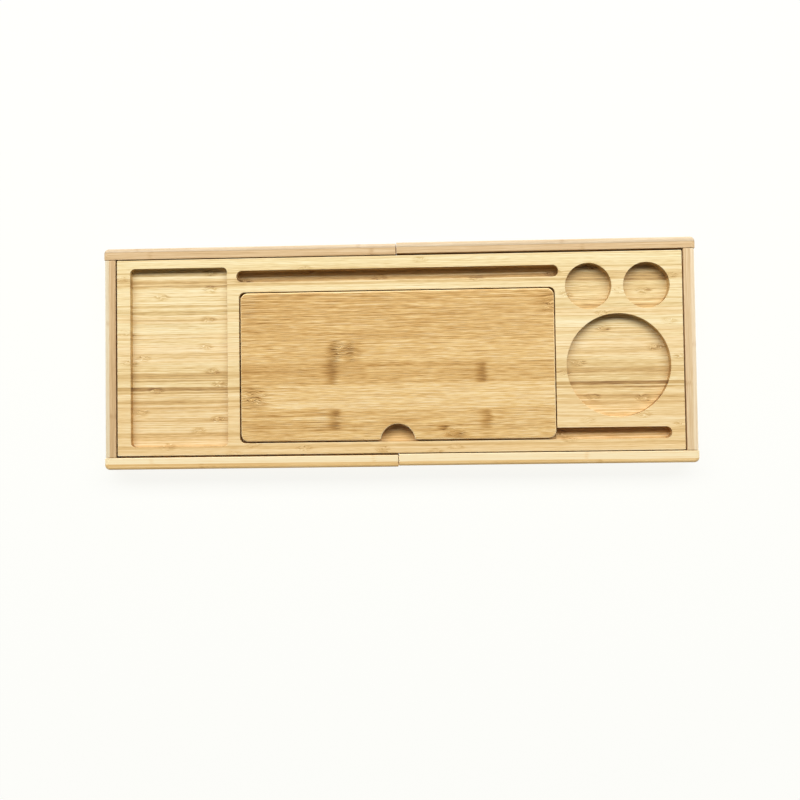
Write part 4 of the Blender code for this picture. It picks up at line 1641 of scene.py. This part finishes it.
@dataclass
class Studio:
    """The floor, the light from behind and above, and the camera over the tray."""

    paper: str = "#FFFFFB"
    floor_half: float = 4.0
    # The floor's shadow keeps this share of its depth
    shadow_share: float = 0.1
    # How much the floor glows on to the tray's sides: at 2 an upright face gets as much as the top
    bounce: float = 2.0
    floor_drop: float = 0.0004
    # The distances between which the floor's shadow fades out
    shadow_fades: Pair = (0.5, 1.4)
    # Half extents of the tray, of the part within its board's gaps, and the width of the rim under the
    # board's edges on which a shadow is painted
    tray_half: Pair = (0.305, 0.1155)
    board_half: Pair = (0.288, 0.100)
    shadow_rim_width: float = 0.012
    # How bright the painted shadow on that rim looks, where the board stands open over it
    painted_shadow_level: float = 0.3
    fill: float = 0.022
    key_watts: float = 239.0
    key_elevation: float = 46.5
    key_distance: float = 3.0
    key_size: Pair = (8.4, 1.35)
    camera_place: Triple = (0.02140, -0.06310, 0.722)
    camera_turn: Triple = (0.022148, 0.027764, -0.013478)
    lens_mm: float = 30.776
    sensor_mm: float = 36.0

    def build_floor(self) -> None:
        """Lays the floor: a white light table, on which the tray leaves a faint shadow.

        Its back is clear, so that the tray's underside can be looked at from below. On a rim under the
        board's edges a shadow is painted.
        """
        half = self.floor_half
        mesh = bpy.data.meshes.new("paper_floor")
        corners = np.array([(-half, -half), (half, -half), (half, half), (-half, half)])
        corners = lift(corners, -self.floor_drop)
        mesh.from_pydata(corners, [], [(0, 1, 2, 3)])
        material, graph = new_material("white_paper")
        paper = linear(self.paper)
        seen = self.clear_rays(graph)
        strength = graph.add(Node.RANGE, (seen, 0.0, 1.0, self.bounce, 1.0))
        place = graph.add(Node.PLACE, output="Object")
        inner = tuple(half - self.shadow_rim_width for half in self.board_half)
        areas = (self.tray_half, self.board_half, inner)
        beside, past_board, past_inner = (self.outside(graph, place, area) for area in areas)
        rim = graph.add(Maths.MINUS, (past_inner, past_board))
        # Under the tray 1 is enough, and under the board's gaps the floor gives no light of its own and
        # shows a painted shadow
        dark = graph.add(Maths.TIMES, (seen, self.painted_shadow_level))
        under = graph.add(Node.RANGE, (rim, 0.0, 1.0, 1.0, dark))
        under = graph.add(Node.RANGE, (beside, 0.0, 1.0, under, strength))
        far = graph.add(Node.VECTORS, (place,), "Value", operation="LENGTH")
        share = graph.add(Node.RANGE, (far, *self.shadow_fades, 1 - self.shadow_share, 1.0))
        diffuse, glow = graph.add(Node.DIFFUSE, (paper,)), graph.add(Node.GLOW, (paper, under))
        front = graph.add(Node.MIX, (share, diffuse, glow))
        behind = graph.add(Node.GEOMETRY, output="Backfacing")
        shader = graph.add(Node.MIX, (behind, front, graph.add(Node.CLEAR)))
        graph.add(Node.OUTPUT, (shader,))
        mesh.materials.append(material)
        put_in_scene("paper_floor", mesh)

    def outside(self, graph: Graph, place: Socket, halves: Pair) -> Socket:
        """Finds whether a place on the floor is outside a rectangle round the middle.

        Args:
            graph: Where the nodes go.
            place: Place on the floor.
            halves: Half extents of the rectangle.

        Returns:
            1 outside the rectangle and 0 inside it.
        """
        total = 0.0
        for axis, half in zip("XY", halves):
            side = graph.add(Maths.SIZE, (graph.add(Node.SPLIT, (place,), axis),))
            total = graph.add(Maths.MOST, (total, graph.add(Maths.ABOVE, (side, half))))
        return total

    def clear_rays(self, graph: Graph) -> Socket:
        """Gives 1 for rays from the camera, a mirror or a glass, and nothing for others."""
        rays = graph.add(Node.RAYS).node
        kinds = ("Camera", "Glossy", "Transmission")
        camera, glossy, through = (rays.outputs[f"Is {kind} Ray"] for kind in kinds)
        return graph.add(Maths.MOST, (graph.add(Maths.MOST, (camera, glossy)), through))

    def build_world(self) -> None:
        """Fills the room with weak white light and shows it as white paper."""
        world = bpy.data.worlds.new("pale_room")
        world.use_nodes = True
        graph = Graph(world.node_tree)
        strength = graph.add(Node.RANGE, (self.clear_rays(graph), 0.0, 1.0, self.fill, 1.0))
        graph.add(Node.WORLD, (graph.add(Node.BACKGROUND, (linear(self.paper), strength)),))
        bpy.context.scene.world = world

    def build_key(self) -> None:
        """Hangs a wide soft box behind the tray, aimed at its middle."""
        data = bpy.data.lights.new("soft_box", "AREA")
        data.shape = "RECTANGLE"
        data.size, data.size_y = self.key_size
        data.energy = self.key_watts
        lamp = put_in_scene("soft_box", data)
        angle = math.radians(self.key_elevation)
        lamp.location = (0.0, self.key_distance * math.cos(angle), self.key_distance * math.sin(angle))
        lamp.rotation_euler = (angle - math.pi / 2, 0.0, 0.0)

    def build_camera(self) -> None:
        """Sets the camera over the tray."""
        data = bpy.data.cameras.new("camera")
        data.lens = self.lens_mm
        data.sensor_width = self.sensor_mm
        data.clip_start = 0.01
        camera = put_in_scene("camera", data)
        camera.location = self.camera_place
        camera.rotation_euler = self.camera_turn
        bpy.context.scene.camera = camera

    def build(self) -> None:
        """Builds the studio."""
        self.build_camera()
        self.build_world()
        self.build_key()
        self.build_floor()
        bpy.context.scene.view_settings.view_transform = "Standard"


def main() -> None:
    """Builds the studio and the tray's pieces in order."""
    logging.basicConfig(level=logging.INFO, format="%(message)s")
    Studio().build()
    Board().build()
    Panel().build()
    silicone, beech = Silicone().build(), Beech().build()
    for side, body in (("left", Body.LEFT_FRAME), ("right", Body.RIGHT_FRAME)):
        SlidingFrame(side, body).build(silicone, beech)


if __name__ == "__main__":
    main()
